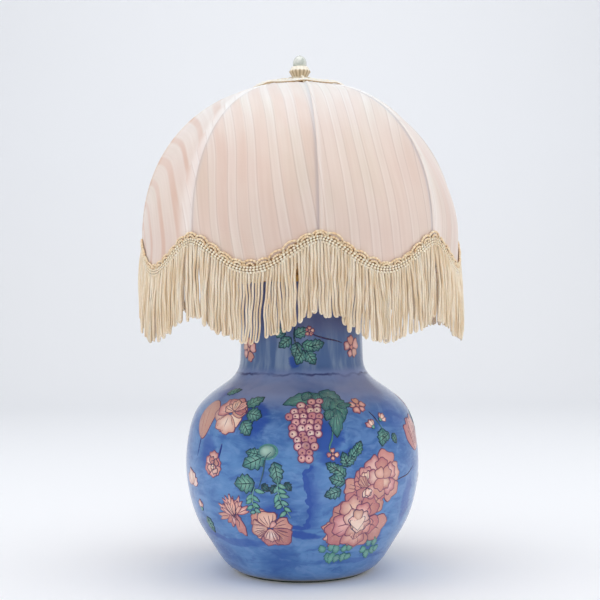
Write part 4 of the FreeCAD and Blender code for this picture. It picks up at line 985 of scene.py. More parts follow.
def on_vase(turn, along, lift):
    """Places on the wall, and outward normals, at turns, lengths along the wall and lifts off it."""
    turn, along, lift = np.broadcast_arrays(turn, along, lift)
    r, z, way_r, way_z = (np.interp(along, WALL_LENGTH, known) for known in (*WALL.T, *WALL_WAY.T))
    size = np.hypot(way_r, way_z)
    out_r, out_z = way_z / size, -way_r / size
    r, z = r + out_r * lift, z + out_z * lift
    normal = np.stack([out_r * np.sin(turn), -out_r * np.cos(turn), out_z], -1)
    return np.stack([r * np.sin(turn), -r * np.cos(turn), z], -1), normal


def about(spot, points):
    """Turn and length along the wall of points in millimetres about a spot.

    A spot is a turn in degrees, a height in millimetres, a tilt in degrees and a scale.
    """
    turn, height, tilt, scale = spot
    across, up = np.moveaxis(turned(np.asarray(points, dtype=float) * scale * MM, tilt), -1, 0)
    along = np.interp(height * MM, WALL[:, 1], WALL_LENGTH) + up
    return math.radians(turn) + across / np.interp(along, WALL_LENGTH, WALL[:, 0]), along


def turned(points, degrees, shift=(0, 0)):
    """Points turned about the origin and then shifted."""
    angle = math.radians(degrees)
    x, y = np.moveaxis(np.asarray(points, dtype=float), -1, 0)
    across = x * math.cos(angle) - y * math.sin(angle)
    return np.stack([across + shift[0], x * math.sin(angle) + y * math.cos(angle) + shift[1]], -1)


print("wall length", round(float(WALL_LENGTH[-1]), 3), "m")

# %% [markdown]
# ## A brush
# The decoration is raised a little, as thick slip is, and each petal, leaf or berry is one low patch
# with a dark outline and a fill that runs from pale to deep. Lines are drawn over them as strokes.
# Later patches lie over earlier ones. The pattern is the usual peony and grape ornament of such
# vases: every outline here comes from a formula and is laid out like the one in the photograph.

# %% Brush
SEGMENTS = 24
STROKE_STEPS, STROKE_SIDES, STROKE_FLATTEN = 9, 4, 0.35
PATCH_DEPTH = 0.4 * MM
LAYER, TOP_LAYER, CROWDED_LAYER = 0.035 * MM, 12, 0.45
FILL_RINGS = np.array([0.0, 0.33, 0.67, 1.0])
FILL_MIX = np.array([0.0, 0.15, 0.5, 1.0])[:, None]
DOME = np.array([1.0, 0.9, 0.6, 0.0, 0.0, 0.0, 0.0])
TONE_CHANGE = 0.035


class Brush:
    """Gathers patches and strokes in the order in which they are painted, then makes one piece of each."""

    def __init__(self):
        self.patches, self.strokes = [], []
        self.spot, self.layer = None, 0

    def begin(self, spot):
        """Starts a motif low on the glaze again when the spot is a new one. A fifth number raises it."""
        if spot != self.spot:
            self.spot, self.layer = spot, spot[4] if len(spot) > 4 else 0
        return spot[:4]

    def patch(self, spot, outline, middle, pale, deep, line, lift=0.25, width=0.8, dome=0.03):
        """A patch inside an outline. The fill is pale at the middle and deep towards the outline."""
        spot = self.begin(spot)
        size = np.linalg.norm(outline - np.asarray(middle, dtype=float), axis=1).mean() * spot[3]
        share = min(0.4, width / max(size, 0.1))
        self.layer += 1 if self.layer < TOP_LAYER else CROWDED_LAYER
        rings = np.r_[FILL_RINGS * (1 - share * 1.15), 1 - share * 0.9, 1 - share * 0.12, 1.0]
        lifts = lift * MM + self.layer * LAYER + dome * MM * DOME
        lifts[-1] = -PATCH_DEPTH
        fill = np.array(pale) * (1 - FILL_MIX) + np.array(deep) * FILL_MIX
        fill = fill * (1 + chance.normal(0, TONE_CHANGE, (1, 3)))
        places = about(spot, middle + rings[:, None, None] * (outline - np.asarray(middle)))
        self.patches.append((*places, lifts, np.concatenate([fill, np.array([line] * 3)])))

    def stroke(self, spot, points, width, colour, lift=0.3):
        """A stroke through points, thin at both ends."""
        spot = self.begin(spot)
        points = np.asarray(points, dtype=float)
        reach = np.r_[0, np.cumsum(np.linalg.norm(np.diff(points, axis=0), axis=1))]
        at = np.linspace(0, reach[-1], STROKE_STEPS)
        line = np.stack([np.interp(at, reach, points[:, 0]), np.interp(at, reach, points[:, 1])], -1)
        line[1:-1] = (line[:-2] + 2 * line[1:-1] + line[2:]) / 4
        radius = width * spot[3] * MM / 2 * np.sin(np.linspace(0.12, math.pi - 0.12, STROKE_STEPS)) ** 0.5
        self.strokes.append((*about(spot, line), radius, colour, lift * MM + self.layer * LAYER))

    def finish(self, name, glaze):
        """Makes the patches one piece and the strokes another."""
        turn, along, lifts, colours = (np.array(part) for part in zip(*self.patches))
        places, _ = on_vase(turn, along, lifts[:, :, None])
        count, rings = places.shape[:2]
        under, _ = on_vase(turn[:, 0, 0], along[:, 0, 0], -PATCH_DEPTH)
        tops = places[:, 0, :1]
        verts = np.concatenate([places[:, 1:].reshape(count, -1, 3), tops, under[:, None]], axis=1)
        each, last, j = verts.shape[1], (rings - 2) * SEGMENTS, np.arange(SEGMENTS)
        j2 = (j + 1) % SEGMENTS
        top_fan = np.stack([j, np.full(SEGMENTS, each - 2), j2], 1)
        under_fan = np.stack([last + j, last + j2, np.full(SEGMENTS, each - 1)], 1)
        faces = copied(grid_faces(rings - 1, SEGMENTS, wrap=True), count, each)
        faces += copied(np.concatenate([top_fan, under_fan]), count, each)
        ring_paint = np.repeat(colours[:, 1:], SEGMENTS, axis=1)
        paint = np.concatenate([ring_paint, colours[:, :1], colours[:, -1:]], axis=1).reshape(-1, 3)
        new_piece(f"{name}_patches", verts, faces, "root", "glazed_ceramic", glaze, paint)
        turn, along, radius, colours, rise = (np.array(part) for part in zip(*self.strokes))
        paths, normals = on_vase(turn, along, rise[:, None])
        verts, faces = tubes(paths, radius, STROKE_SIDES, normals, flatten=STROKE_FLATTEN)
        paint = np.repeat(colours, STROKE_STEPS * STROKE_SIDES + 2, axis=0)
        new_piece(f"{name}_strokes", verts, faces, "root", "glazed_ceramic", glaze, paint)


# %% [markdown]
# ## Petals, leaves and berries
# A petal's outline runs from its base at the origin to its tip up the page: with t from 0 to 2 pi,
# y = length (1 - cos t) / 2 and x = 0.625 width sin t (taper + (1 - taper) y / length), and a ruffle
# near the tip. A leaf's edge steps out and in over every three points, which gives its teeth.

# %% Outlines
INK = srgb(58, 46, 88)
PLUM = srgb(116, 66, 98)
CORAL = srgb(197, 140, 132)
ROSE = srgb(184, 118, 123)
PEACH = srgb(210, 158, 143)
BLUSH = srgb(232, 190, 178)
CREAM = srgb(240, 218, 202)
TEAL = srgb(50, 106, 112)
SEA = srgb(78, 140, 134)
MINT = srgb(118, 170, 158)
JADE = srgb(100, 154, 142)
PINE = srgb(22, 58, 72)
STEM = srgb(60, 96, 108)
DEEP_BLUE = srgb(26, 52, 138)
BERRY = srgb(112, 54, 92)
MAUVE = srgb(186, 126, 142)
PALE_GREEN = srgb(168, 198, 190)
WARM = ((BLUSH, CORAL), (CORAL, ROSE), (BLUSH, PEACH), (BLUSH, ROSE), (PEACH, CORAL))
PALE = ((CREAM, BLUSH), (BLUSH, CORAL), (CREAM, PEACH))
TURNS = np.arange(SEGMENTS) / SEGMENTS * TAU
ROUND = np.stack([np.cos(TURNS), np.sin(TURNS)], -1)


def petal(length, width, ruffle=0.08, lobes=5, taper=0.45, notch=0.0, bend=0.0):
    """A petal's outline, with its base at the origin and its tip up the page."""
    up = (1 - np.cos(TURNS)) / 2
    tip = up ** 3
    edge = 1 + ruffle * np.sin(lobes * TURNS + chance.uniform(0, TAU)) * tip
    x = width / 2 * np.sin(TURNS) * (taper + (1 - taper) * up) * edge * 1.25
    y = length * up * edge - notch * length * np.exp(-(np.sin(TURNS / 2) - 1) ** 2 / 0.002) * tip
    return np.stack([x + bend * up ** 2, y], -1)


def leaf_shape(length, width, teeth=0.16, bend=0.0):
    """A toothed leaf's outline, with its stalk at the origin and its point up the page."""
    share = 1 - np.abs(TURNS / math.pi - 1)
    wide = np.sin(math.pi * np.clip(share, 0, 1) ** 0.8) ** 0.75
    step = 1 + teeth * np.array([1, 0.2, -1] * (SEGMENTS // 3))
    x = np.where(TURNS < math.pi, 0.5, -0.5) * wide * width * step
    return np.stack([x + bend * share ** 2, share * length], -1)


print(SEGMENTS, "points to an outline")

# %% Motifs


def leaf(brush, spot, length=26, width=17, bend=0.0, colours=(MINT, TEAL), veins=3):
    outline = leaf_shape(length, width, bend=bend)
    brush.patch(spot, outline, (bend * 0.3, length * 0.45), *colours, PINE, width=1.2)
    brush.stroke(spot, [(bend * t ** 2, length * t) for t in np.linspace(0.02, 0.92, 7)], 1.1, PINE)
    for k in range(veins):
        t = 0.2 + 0.6 * k / veins
        foot = np.array((bend * t ** 2, length * t))
        reach = width * 0.36 * math.sin(math.pi * t ** 0.8)
        for side in (-reach, reach):
            vein = [foot, foot + (side * 0.5, length * 0.07), foot + (side, length * 0.16)]
            brush.stroke(spot, vein, 0.8, PINE)


def petal_row(brush, spot, count, inner, length, width, start, spread, tones, line, marks=0, ruffle=0.09):
    """Petals set round a centre, over an arc of the given spread, the outermost ones first."""
    for k in np.argsort(-np.abs(np.arange(count) - (count - 1) / 2)):
        angle = start + spread * (k / count if spread >= 360 else k / max(count - 1, 1) - 0.5)
        angle += chance.normal(0, 4)
        scale = 1 + chance.normal(0, 0.09)
        shape = petal(length * scale, width * scale, ruffle, chance.integers(4, 8))
        outline = turned(shape, angle, turned((0, inner), angle))
        pale, deep = tones[chance.integers(0, len(tones))]
        brush.patch(spot, outline, turned((0, inner + length * 0.45), angle), pale, deep, line, width=1.0)
        for mark in range(marks):
            lean = (mark - (marks - 1) / 2) * width * 0.17
            ends = [(lean * out, inner + length * up) for out, up in ((0.5, 0.2), (1.1, 0.5), (1.4, 0.78))]
            brush.stroke(spot, turned(ends, angle), 0.85, PLUM)


def petal_rows(brush, spot, *rows):
    for row in rows:
        petal_row(brush, spot, *row)


def peony(brush, spot, heart=True, marks=0):
    """A full peony about 50 mm across: three rows of petals, the last ones cupped round the heart."""
    outer = ((6, 10, 19, 26, 0, 360, WARM, PLUM, marks), (5, 5, 17, 21, 25, 360, WARM, PLUM, marks))
    petal_rows(brush, spot, *outer, (4, -1, 16, 16, 10, 290, PALE + WARM, PLUM))
    if heart:
        petal_rows(
            brush, spot, (3, -2, 13, 12, 180, 120, PALE, INK), (3, -1, 11, 10, 0, 140, PALE, INK),
        )
        heart_shape = petal(14, 17, 0.03, 2, 0.15, notch=0.3)
        brush.patch(spot, heart_shape - (1, 9), (-1, -2), CREAM, CREAM, INK, width=0.8)


def side_peony(brush, spot):
    """A half-open peony seen from the side: a fan of tall petals over two broad ones."""
    petal_rows(
        brush, spot, (5, 4, 26, 20, 0, 130, WARM, PLUM, 2), (4, 0, 21, 15, 5, 80, PALE + WARM, PLUM, 2),
        (2, -3, 17, 22, 180, 100, WARM, PLUM), (3, -3, 13, 11, 180, 70, PALE, INK),
    )


def rose(brush, spot):
    """A small rose about 28 mm across, with petals wrapped round each other."""
    petal_rows(
        brush, spot, (6, 3, 11, 14, 0, 360, WARM, PLUM), (4, 1, 9, 10, 30, 360, WARM, INK),
        (2, -2, 8, 7, 10, 300, PALE, INK),
    )
    brush.stroke(spot, [(-5, 2), (-2, 6), (3, 5), (4, 0), (0, -3), (-3, 0)], 0.8, INK)


def carnation(brush, spot):
    """A carnation seen from the side: ragged, streaked petals that stand up from a long pointed cup."""
    petal_rows(
        brush, spot, (6, 5, 18, 10, 0, 150, WARM, PLUM, 1, 0.22),
        (3, -6, 20, 12, 180, 90, WARM, PLUM, 1, 0.15), (4, 0, 17, 9, 0, 90, PALE + WARM, PLUM, 1, 0.2),
    )
    brush.patch(spot, petal(27, 13, 0.1) * (1, -1) + (3, 2), (3, -10), CORAL, ROSE, PLUM)
    for x in (-4, 0, 4):
        brush.stroke(spot, [(x * 0.3 + 2, -6), (x * 0.8, 3), (x * 1.9, 12)], 1.0, INK)
    brush.stroke(spot, [(6, 4), (0, -2), (5, -8), (1, -14)], 1.0, INK)


def shell_flower(brush, spot):
    """A flower whose broad petals are ribbed like shells."""
    petal_rows(
        brush, spot, (3, 3, 20, 24, 95, 90, WARM, PLUM, 5), (3, 3, 21, 24, 225, 100, WARM, PLUM, 6),
        (1, 0, 20, 25, 15, 10, WARM, PLUM, 6), (1, 1, 18, 21, 185, 10, PALE, PLUM, 6),
        (1, -1, 13, 8, -32, 10, PALE, INK),
    )


def blossom(brush, spot, petals=5):
    """A small open flower about 20 mm across with a dotted middle."""
    petal_row(brush, spot, petals, 1.5, 8.5, 9, 0, 360, WARM, PLUM)
    brush.patch(spot, petal(4.5, 5, 0) - (0, 2.2), (0, 0), PEACH, ROSE, INK, width=0.5)
    for k in range(petals):
        brush.stroke(spot, turned([(0, 2), (0, 3.5), (0, 5)], 36 + 360 * k / petals), 0.6, INK)


def bud(brush, spot):
    petal_row(brush, spot, 3, 0, 9, 6, 0, 70, PALE, PLUM)
    brush.patch(spot, petal(5, 6, 0.0) - (0, 3), (0, 0), MINT, SEA, PINE, width=0.6)


def sprig(brush, spot, length=34, pairs=4):
    """A curved stem with small leaves that stand out at uneven angles."""
    brush.stroke(spot, [(4 * math.sin(t * 4), length * t) for t in np.linspace(0, 1, 8)], 1.5, MINT)
    for k in range(pairs):
        for side in (-1, 1):
            t = 0.16 + 0.74 * k / pairs + 0.05 * side + chance.normal(0, 0.02)
            foot = (4 * math.sin(t * 4), length * t)
            long = (12 + chance.normal(0, 1.2)) * (1.1 - 0.45 * t)
            shape = leaf_shape(long, 5.2, 0.12, side * 1.5)
            shape = turned(shape, side * (-42 + chance.normal(0, 11)), foot)
            brush.patch(spot, shape, shape.mean(0), MINT, SEA, PINE, width=0.7)


# Berries in each row of a bunch and how far the row leans right, in mm.
BUNCH_ROWS = ((2, 12), (3, 5), (4, 1), (5, -1), (4, 2), (4, 0), (4, 1), (3, 0), (3, 1), (2, 0), (2, 0))
BERRY_TONES = ((BLUSH, MAUVE), (CORAL, MAUVE), (CREAM, MAUVE))
BERRY_PITCH, ROW_PITCH, BUNCH_TOP, BERRY_RADIUS, EYE_RADIUS = 8.2, 6.7, 32, 5.2, 1.1


def grapes(brush, spot):
    """A bunch of some three dozen touching berries, each with a plum ring and a dark eye."""
    for row, (count, lean) in enumerate(BUNCH_ROWS):
        for k in range(count):
            x = (k - (count - 1) / 2) * BERRY_PITCH + lean + chance.normal(0, 0.6)
            middle = np.array((x, BUNCH_TOP - ROW_PITCH * row + chance.normal(0, 0.8)))
            wide = BERRY_RADIUS + chance.normal(0, 0.3)
            tones = BERRY_TONES[chance.integers(0, 3)]
            brush.patch(spot, ROUND * wide + middle, middle, *tones, BERRY, 0.4, 1.15, 0.15)
            eye = ROUND * EYE_RADIUS + middle + chance.normal(0, 0.8, 2)
            brush.patch(spot, eye, eye.mean(0), BERRY, BERRY, BERRY, lift=0.6, width=0.4)


# Each lobe of the vine leaf has a foot, an angle, a length, a width and a bend.
VINE_LOBES = (
    ((12, 8), 100, 46, 19, -7), ((0, 14), 150, 18, 12, 0), ((10, 12), 165, 17, 13, 0),
    ((10, 14), -120, 34, 20, 5), ((20, 6), 170, 24, 17, 0), ((26, 2), -158, 34, 22, 3),
    ((28, -10), -85, 20, 9, 0), ((26, -12), -175, 36, 17, 2), ((22, -14), 155, 16, 12, 0),
)


def vine_leaf(brush, spot):
    """The long leaf that arches over the grapes: a wing to the left, and a broad lobed blade that hangs."""
    for foot, angle, length, width, bend in VINE_LOBES:
        shape = turned(leaf_shape(length, width, 0.12, bend), angle, foot)
        middle = turned((bend * 0.3, length * 0.4), angle, foot)
        brush.patch(spot, shape, middle, JADE, TEAL, PINE, width=1.0)
        for side in (-0.28 * width, 0.0, 0.28 * width):
            vein = [(0, 2), (side * 0.6 + bend * 0.2, length * 0.45), (side + bend * 0.6, length * 0.8)]
            brush.stroke(spot, turned(vein, angle, foot), 0.8, STEM)


def grass(brush, spot, blades=9):
    """Low tufts of broad leaf blades that overlap at a flower's foot."""
    for k in range(blades):
        x = (k - (blades - 1) / 2) * 3.6
        angle = -x * 1.2 + chance.normal(0, 9) + 180 * (k % 2)
        shape = leaf_shape(15 + chance.normal(0, 2), 8.5, 0.22)
        shape = turned(shape, angle, (x, chance.normal(0, 1.2)))
        brush.patch(spot, shape, shape.mean(0), MINT, SEA, TEAL, width=0.8)


print(sum(count for count, _ in BUNCH_ROWS), "berries to a bunch")

# %% [markdown]
# ## The glaze
# The blue was brushed on under a clear glaze, so it is uneven: soft strokes, darker pools where the
# brush stopped, and a mauve tint on the shoulder. The finish mixes noise at several scales, and adds
# darker washes at stated places, each an ellipse in turn and height whose edge the noise bends.

# %% Glaze finish
# Each wash has a turn in degrees, a height in mm, half its size in both, and a strength.
WASHES = (
    (-25, 188, 8, 22, 0.9), (12, 174, 8, 17, 0.9), (18, 151, 11, 9, 0.8), (8, 108, 8, 34, 0.2),
    (-7, 249, 5, 7, 0.9), (-12, 88, 9, 9, 0.7), (41, 56, 7, 18, 0.7), (-50, 150, 6, 22, 0.6),
    (-40, 52, 26, 5, 0.6), (30, 30, 30, 4, 0.5), (62, 92, 5, 26, 0.6), (55, 190, 9, 18, 0.5),
    (-3, 64, 14, 4, 0.9), (-58, 215, 12, 6, 0.6), (150, 150, 12, 40, 0.7), (-130, 120, 12, 44, 0.7),
    (100, 100, 9, 34, 0.6), (-100, 180, 10, 24, 0.6), (180, 90, 24, 8, 0.7), (-77, 150, 10, 52, 0.4),
)
SEAM_HEIGHT = 236.0
FRAME_TOP, FRAME_FOOT = 142.0, 72.0
WASH_COLOUR, SEAM_COLOUR, FOOT_COLOUR = srgb(28, 70, 156), srgb(38, 48, 104), srgb(150, 146, 142)


def washes(turn, height, slow, marks, wobble):
    """The darker washes, and a ragged frame line that runs down the front and turns left at its foot."""
    bent_turn, bent_height = turn + (marks - 0.5) * 9.0, height + (slow - 0.5) * 24.0
    wash = height * 0.0
    for middle_turn, middle_height, half_turn, half_height, depth in WASHES:
        across = (bent_turn - middle_turn) * (1 / half_turn)
        up = (bent_height - middle_height) * (1 / half_height)
        wash = wash + (across * across + up * up).ramp(1.5, 0.35) * depth
    off = turn + wobble * 11.0 - 1.0
    window = height.ramp(FRAME_TOP + 3, FRAME_TOP - 3) * height.ramp(FRAME_FOOT - 3, FRAME_FOOT + 2)
    wash = wash + (off.ramp(2.4, 1.0) * 0.7 + off.ramp(10.0, 1.0) * 0.6) * off.ramp(-0.3, 0.4) * window
    foot_line = (height + wobble * 9.0).off(FRAME_FOOT).ramp(3.4, 1.8)
    return wash + foot_line * turn.ramp(-17.0, -13.0) * turn.ramp(3.0, 1.0)


def ground_colour(finish, slow, marks):
    """The blue ground from the foot to the mouth, with painted reflections on the neck and a painted shadow
    at its top.
    """
    x, y, z = finish.split(finish.place())
    height = z * (1 / MM)
    turn = finish.turn(x, y * -1.0) * math.degrees(1)
    wobble = finish.noise(55, 2) - 0.5
    patches = finish.noise(34, 3, 0.65, 1.2, (1, 1, 1.5))
    streaks = finish.noise(70, stretch=(1, 1, 0.16))
    shoulder = height.ramp(188.0, 222.0) * slow.ramp(0.3, 0.6, 0.35, 1.0)
    neck = height.ramp(SEAM_HEIGHT, SEAM_HEIGHT + 10) * height.ramp(300.0, 262.0, 0.55, 0.95)
    seam = (height + (slow - 0.5) * 14.0 + wobble * 10.0).off(SEAM_HEIGHT).ramp(2.2, 0.4)
    return finish.layered(
        finish.blend(slow.ramp(0.35, 0.65), srgb(56, 100, 163), srgb(86, 132, 186)),
        (patches.ramp(0.5, 0.66, 0.0, 0.42), srgb(118, 153, 201)),
        (patches.ramp(0.46, 0.32, 0.0, 0.6), srgb(48, 86, 156)),
        (marks.ramp(0.45, 0.7, 0.0, 0.52), srgb(106, 146, 198)),
        (marks.ramp(0.48, 0.3, 0.0, 0.55), srgb(48, 90, 160)),
        (shoulder * 0.85, srgb(132, 144, 186)),
        # The neck turns greyer, with pale vertical streaks that are painted reflections.
        (neck, finish.blend(streaks.ramp(0.4, 0.7), srgb(68, 98, 146), srgb(124, 146, 176))),
        # Painted shadow of the shade and its fringe on the top of the neck.
        (height.ramp(268.0, 300.0) * 0.78, srgb(72, 76, 118)),
        (washes(turn, height, slow, marks, wobble).ramp(0.0, 1.0, 0.0, 0.9), WASH_COLOUR),
        (seam * marks.ramp(0.35, 0.6, 0.25, 0.9), SEAM_COLOUR),
        ((height + (slow - 0.5) * 3.0).ramp(6.0, 3.0), FOOT_COLOUR),
    )


def glaze_finish(name, painted):
    """Glaze over the blue ground, or over slip that has the piece's own painted colours."""
    finish = Finish(name, Coat_Roughness=0.06, Coat_IOR=1.32, Specular_IOR_Level=0.25)
    slow = finish.noise(13, 3, 0.6, 0.6, (1, 1, 0.8))
    marks = finish.noise(26, 4, 0.6, 0.8, (1, 1, 3.2))
    grain = finish.noise(420)
    if painted:
        colour = finish.layered(
            finish.paint(),
            (finish.noise(160, 4, 0.6).ramp(0.42, 0.75, 0.0, 0.35), srgb(250, 222, 205), "MULTIPLY"),
            (grain.ramp(0.55, 0.8, 0.0, 0.18), srgb(255, 245, 235)),
            (marks.ramp(0.5, 0.8, 0.0, 0.4), srgb(214, 190, 190), "MULTIPLY"),
        )
    else:
        colour = ground_colour(finish, slow, marks)
    finish.feed("Coat Weight", slow.ramp(0.2, 0.5, 0.5, 0.75))
    relief = slow * 3.0 + marks * 0.5 + grain * 0.03
    return finish.done(colour, grain.ramp(0.4, 0.8, 0.3, 0.5), relief, 0.8 * MM, 0.35)


ground_glaze = glaze_finish("cobalt_glaze", False)
slip_glaze = glaze_finish("painted_slip", True)
print(len(WASHES), "washes on the ground")

# %% [markdown]
# ## Painting the vase
# Each motif stands at a turn in degrees (0 faces the camera, positive to the right) and a height in
# millimetres above the table, with a tilt and a scale. They are painted in the order of the list.

# %% Front of the vase
stroke, patch = Brush.stroke, Brush.patch
BIG_PETAL, FRUIT = (-57, 164, 10, 1), (-16, 156, 8, 1)


def leaves(places, *shape, size=1.0):
    """Rows of the list for leaves of one shape."""
    return [(leaf, (turn, height, tilt, size), *shape) for turn, height, tilt in places]


FRONT = (
    (stroke, (48, 116, 0, 1), [(0, 0), (12, 4), (28, 5), (46, 14)], 1.6, INK, 0.05),
    (stroke, (5, 280, 0, 1), [(0, 6), (8, 1), (22, -3), (34, -5), (44, -8)], 1.7, INK),
    (stroke, (33, 202, 0, 1), [(-24, 2), (-14, 4), (-8, 1)], 2.2, TEAL),
    (stroke, (24, 205, 0, 1), [(-10, -6), (0, 0), (8, 3)], 1.5, INK),
    (stroke, (39, 193, 0, 1), [(-4, 4), (1, -3), (4, -10), (8, -16)], 1.6, INK),
    (stroke, (13, 168, 0, 1), [(4, 14), (3, 2), (-2, -8), (0, -14)], 2.0, SEA),
    (stroke, (-55, 160, 0, 1), [(-6, 18), (-9, 0), (-12, -16)], 1.8, DEEP_BLUE, 0.05),
    (stroke, (-42, 152, 0, 1), [(2, 10), (-2, -8)], 3.0, DEEP_BLUE, 0.05),
    (stroke, (-9, 276, 0, 1), [(4, 16), (2, 4), (6, -8), (12, -18)], 1.8, PINE),
    *leaves(((-14, 282, 75), (-12, 286, 20), (-7, 280, -60), (-9, 279, 130)), 20, 13, 1),
    *leaves(((-3, 274, 165), (0, 272, -110), (2, 265, 150), (4, 264, -150), (6, 268, -80)), 20, 14, -1),
    (blossom, (7, 286, 0, 0.62)), (blossom, (52, 266, 10, 1.4)), (blossom, (-57, 264, -10, 1.35)),
    (leaf, (-56, 214, -60, 1), 22, 12, 2), (leaf, (-32, 202, -40, 1), 24, 17, 2),
    (leaf, (-30, 196, -95, 1), 21, 18, 2), (leaf, (-31, 188, -140, 1), 21, 17, 1),
)
STREAKS = ([(-4, 8), (-3, 20), (-5, 30)], [(3, 10), (4, 26), (2, 38)], [(-10, 22), (-9, 34)])
FRONT_FLOWERS = (
    *((stroke, BIG_PETAL, line, 0.8, ROSE) for line in STREAKS),
    (petal_row, (-40, 196, -20, 1), 4, 3, 19, 29, 168, 116, PALE + WARM, PLUM, 1),
    (petal_row, (-40, 196, -20, 1), 3, 1, 18, 24, 15, 130, WARM, PLUM, 1),
    (petal_row, (-38, 197, -20, 1, 6), 4, 0, 17, 13, 10, 150, PALE + WARM, INK, 2),
    (grapes, (1.4, 183, 0, 1)), (vine_leaf, (5, 210, 0, 1)), (blossom, (32, 203, 0, 1.15)),
    (bud, (37, 180, 30, 1.0)), (bud, (43, 187, -50, 1.0)),
    (leaf, (43, 178, 170, 1), 22, 16, 2), (leaf, (47, 172, 120, 1), 17, 12, 1),
    (leaf, (49, 171, -150, 1), 14, 10, 1), (stroke, (41, 184, 0, 1), [(-3, 3), (2, -4), (6, -12)], 1.2, SEA),
    (petal_row, (73, 146, 0, 1), 3, 0, 40, 30, 0, 60, WARM, PLUM, 2), (rose, (-46, 137, 0, 1.05)),
    (stroke, (-17, 150, 0, 1), [(6, 6), (0, 2), (-2, -16), (-8, -34)], 1.5, STEM),
    (leaf, (-17, 152, 118, 1), 31, 20, 2), (leaf, (-19, 152, 75, 1), 20, 12, -2),
    (patch, FRUIT, ROUND * (12, 9), (-3, 2), PALE_GREEN, TEAL, SEA, 0.25, 1.6),
    (leaf, (-13, 146, -165, 1), 27, 16, 2), (leaf, (-22, 122, 100, 1), 27, 21, 2),
    (sprig, (-22, 118, 178, 1), 36), (sprig, (-11, 128, -168, 1), 46, 5),
    *leaves(((-8, 124, -145), (-12, 121, 150), (-19, 121, -130)), 14, 10, 0, (TEAL, PINE), 1, size=0.9),
    (carnation, (-35, 83, 14, 1.0)), (shell_flower, (-16, 72, 0, 0.95)),
    (petal_row, (-66, 110, 0, 1), 4, 0, 18, 14, 0, 120, PALE, PLUM),
    (bud, (-60, 84, 10, 1.1)), (leaf, (-57, 76, -160, 1), 22, 14, 2),
    *leaves(((19, 141, -55), (22, 147, -40), (25, 150, -25), (17, 134, 60), (21, 138, 20)), 19, 12, 1),
    *leaves(((20, 122, 75), (18, 114, 110), (20, 128, 50)), 21, 14, 1), (blossom, (14, 153, 0, 0.7), 4),
    (grass, (20, 40, -4, 1), 10), (grass, (42, 41, 30, 1), 6), (peony, (40, 124, -15, 1.0), False),
    (side_peony, (31, 112, 12, 0.95)), (petal_row, (22, 68, 0, 1), 3, 6, 24, 16, 110, 60, WARM, PLUM, 1),
    (peony, (28, 78, 10, 1.38, 3), True, 1),
)


def paint_list(brush, rows):
    """Paints each row of a list: a motif, its spot and what else the motif is told."""
    for motif, *told in rows:
        motif(brush, *told)


front_brush = Brush()
paint_list(front_brush, FRONT)
big_petal = petal(47, 34, 0.06, 3, 0.55, bend=8)
front_brush.patch(BIG_PETAL, big_petal, (2, 26), PEACH, CORAL, PLUM, width=1.0)
paint_list(front_brush, FRONT_FLOWERS)
front_brush.finish("front_painting", slip_glaze)


# %% Back of the vase


def paint_back(brush):
    """The far side, which the photograph doesn't show, carries the same motifs in another order."""
    for turn, height, size in ((150, 140, 1.2), (-150, 84, 1.25), (118, 84, 1.0), (-114, 152, 1.0)):
        peony(brush, (turn, height, turn, size), marks=1)
        for k in range(4):
            leaf(brush, (turn - 24 / size + 3 * k, height + 16 - 11 * k, 60 + 22 * k, 1.1), 24, 15, 2)
    for turn, height, size in ((178, 180, 0.9), (-114, 84, 0.9)):
        grapes(brush, (turn, height, 0, size))
        vine_leaf(brush, (turn + 6, height + 27, 0, size))
    for turn, height in ((96, 200), (-168, 130), (-118, 204), (134, 196), (172, 66)):
        rose(brush, (turn, height, 0, 0.9))
        leaf(brush, (turn + 8, height - 6, -120, 0.9), 22, 14, 2)
        sprig(brush, (turn - 6, height - 8, 160, 0.9))
    for turn in (110, 165, -125):
        blossom(brush, (turn, 272, 0, 1.0))
        leaf(brush, (turn - 12, 280, 70, 0.8), 20, 13, 1)
        brush.stroke((turn, 276, 0, 1), [(8, 2), (20, -3), (34, -2), (44, 4)], 1.6, INK)
    grass(brush, (128, 46, 0, 1))
    grass(brush, (-140, 44, 0, 1))


back_brush = Brush()
paint_back(back_brush)
back_brush.finish("back_painting", slip_glaze)

# %% [markdown]
# ## Fittings, bulb and finial
# The rigid fittings keep the frame model's shapes. Each gets a finish of its own: tarnished brass with
# turning marks, zinc-plated steel, felt, rubber, moulded holder parts and the pearl glass of the bulb.
# The finial is a fluted cream cup with a dome of polished grey-green stone.

# %% Finishes of the fittings
METAL, EVEN, TURNED = {"Metallic": 1.0}, (1, 1, 1), (0.2, 0.2, 6)
SHELLAC = {"Coat_Weight": 0.3}
PEARL = {"Transmission_Weight": 0.25, "Coat_Weight": 0.6}
POLISH = {"Coat_Weight": 1.0, "Coat_Roughness": 0.03}
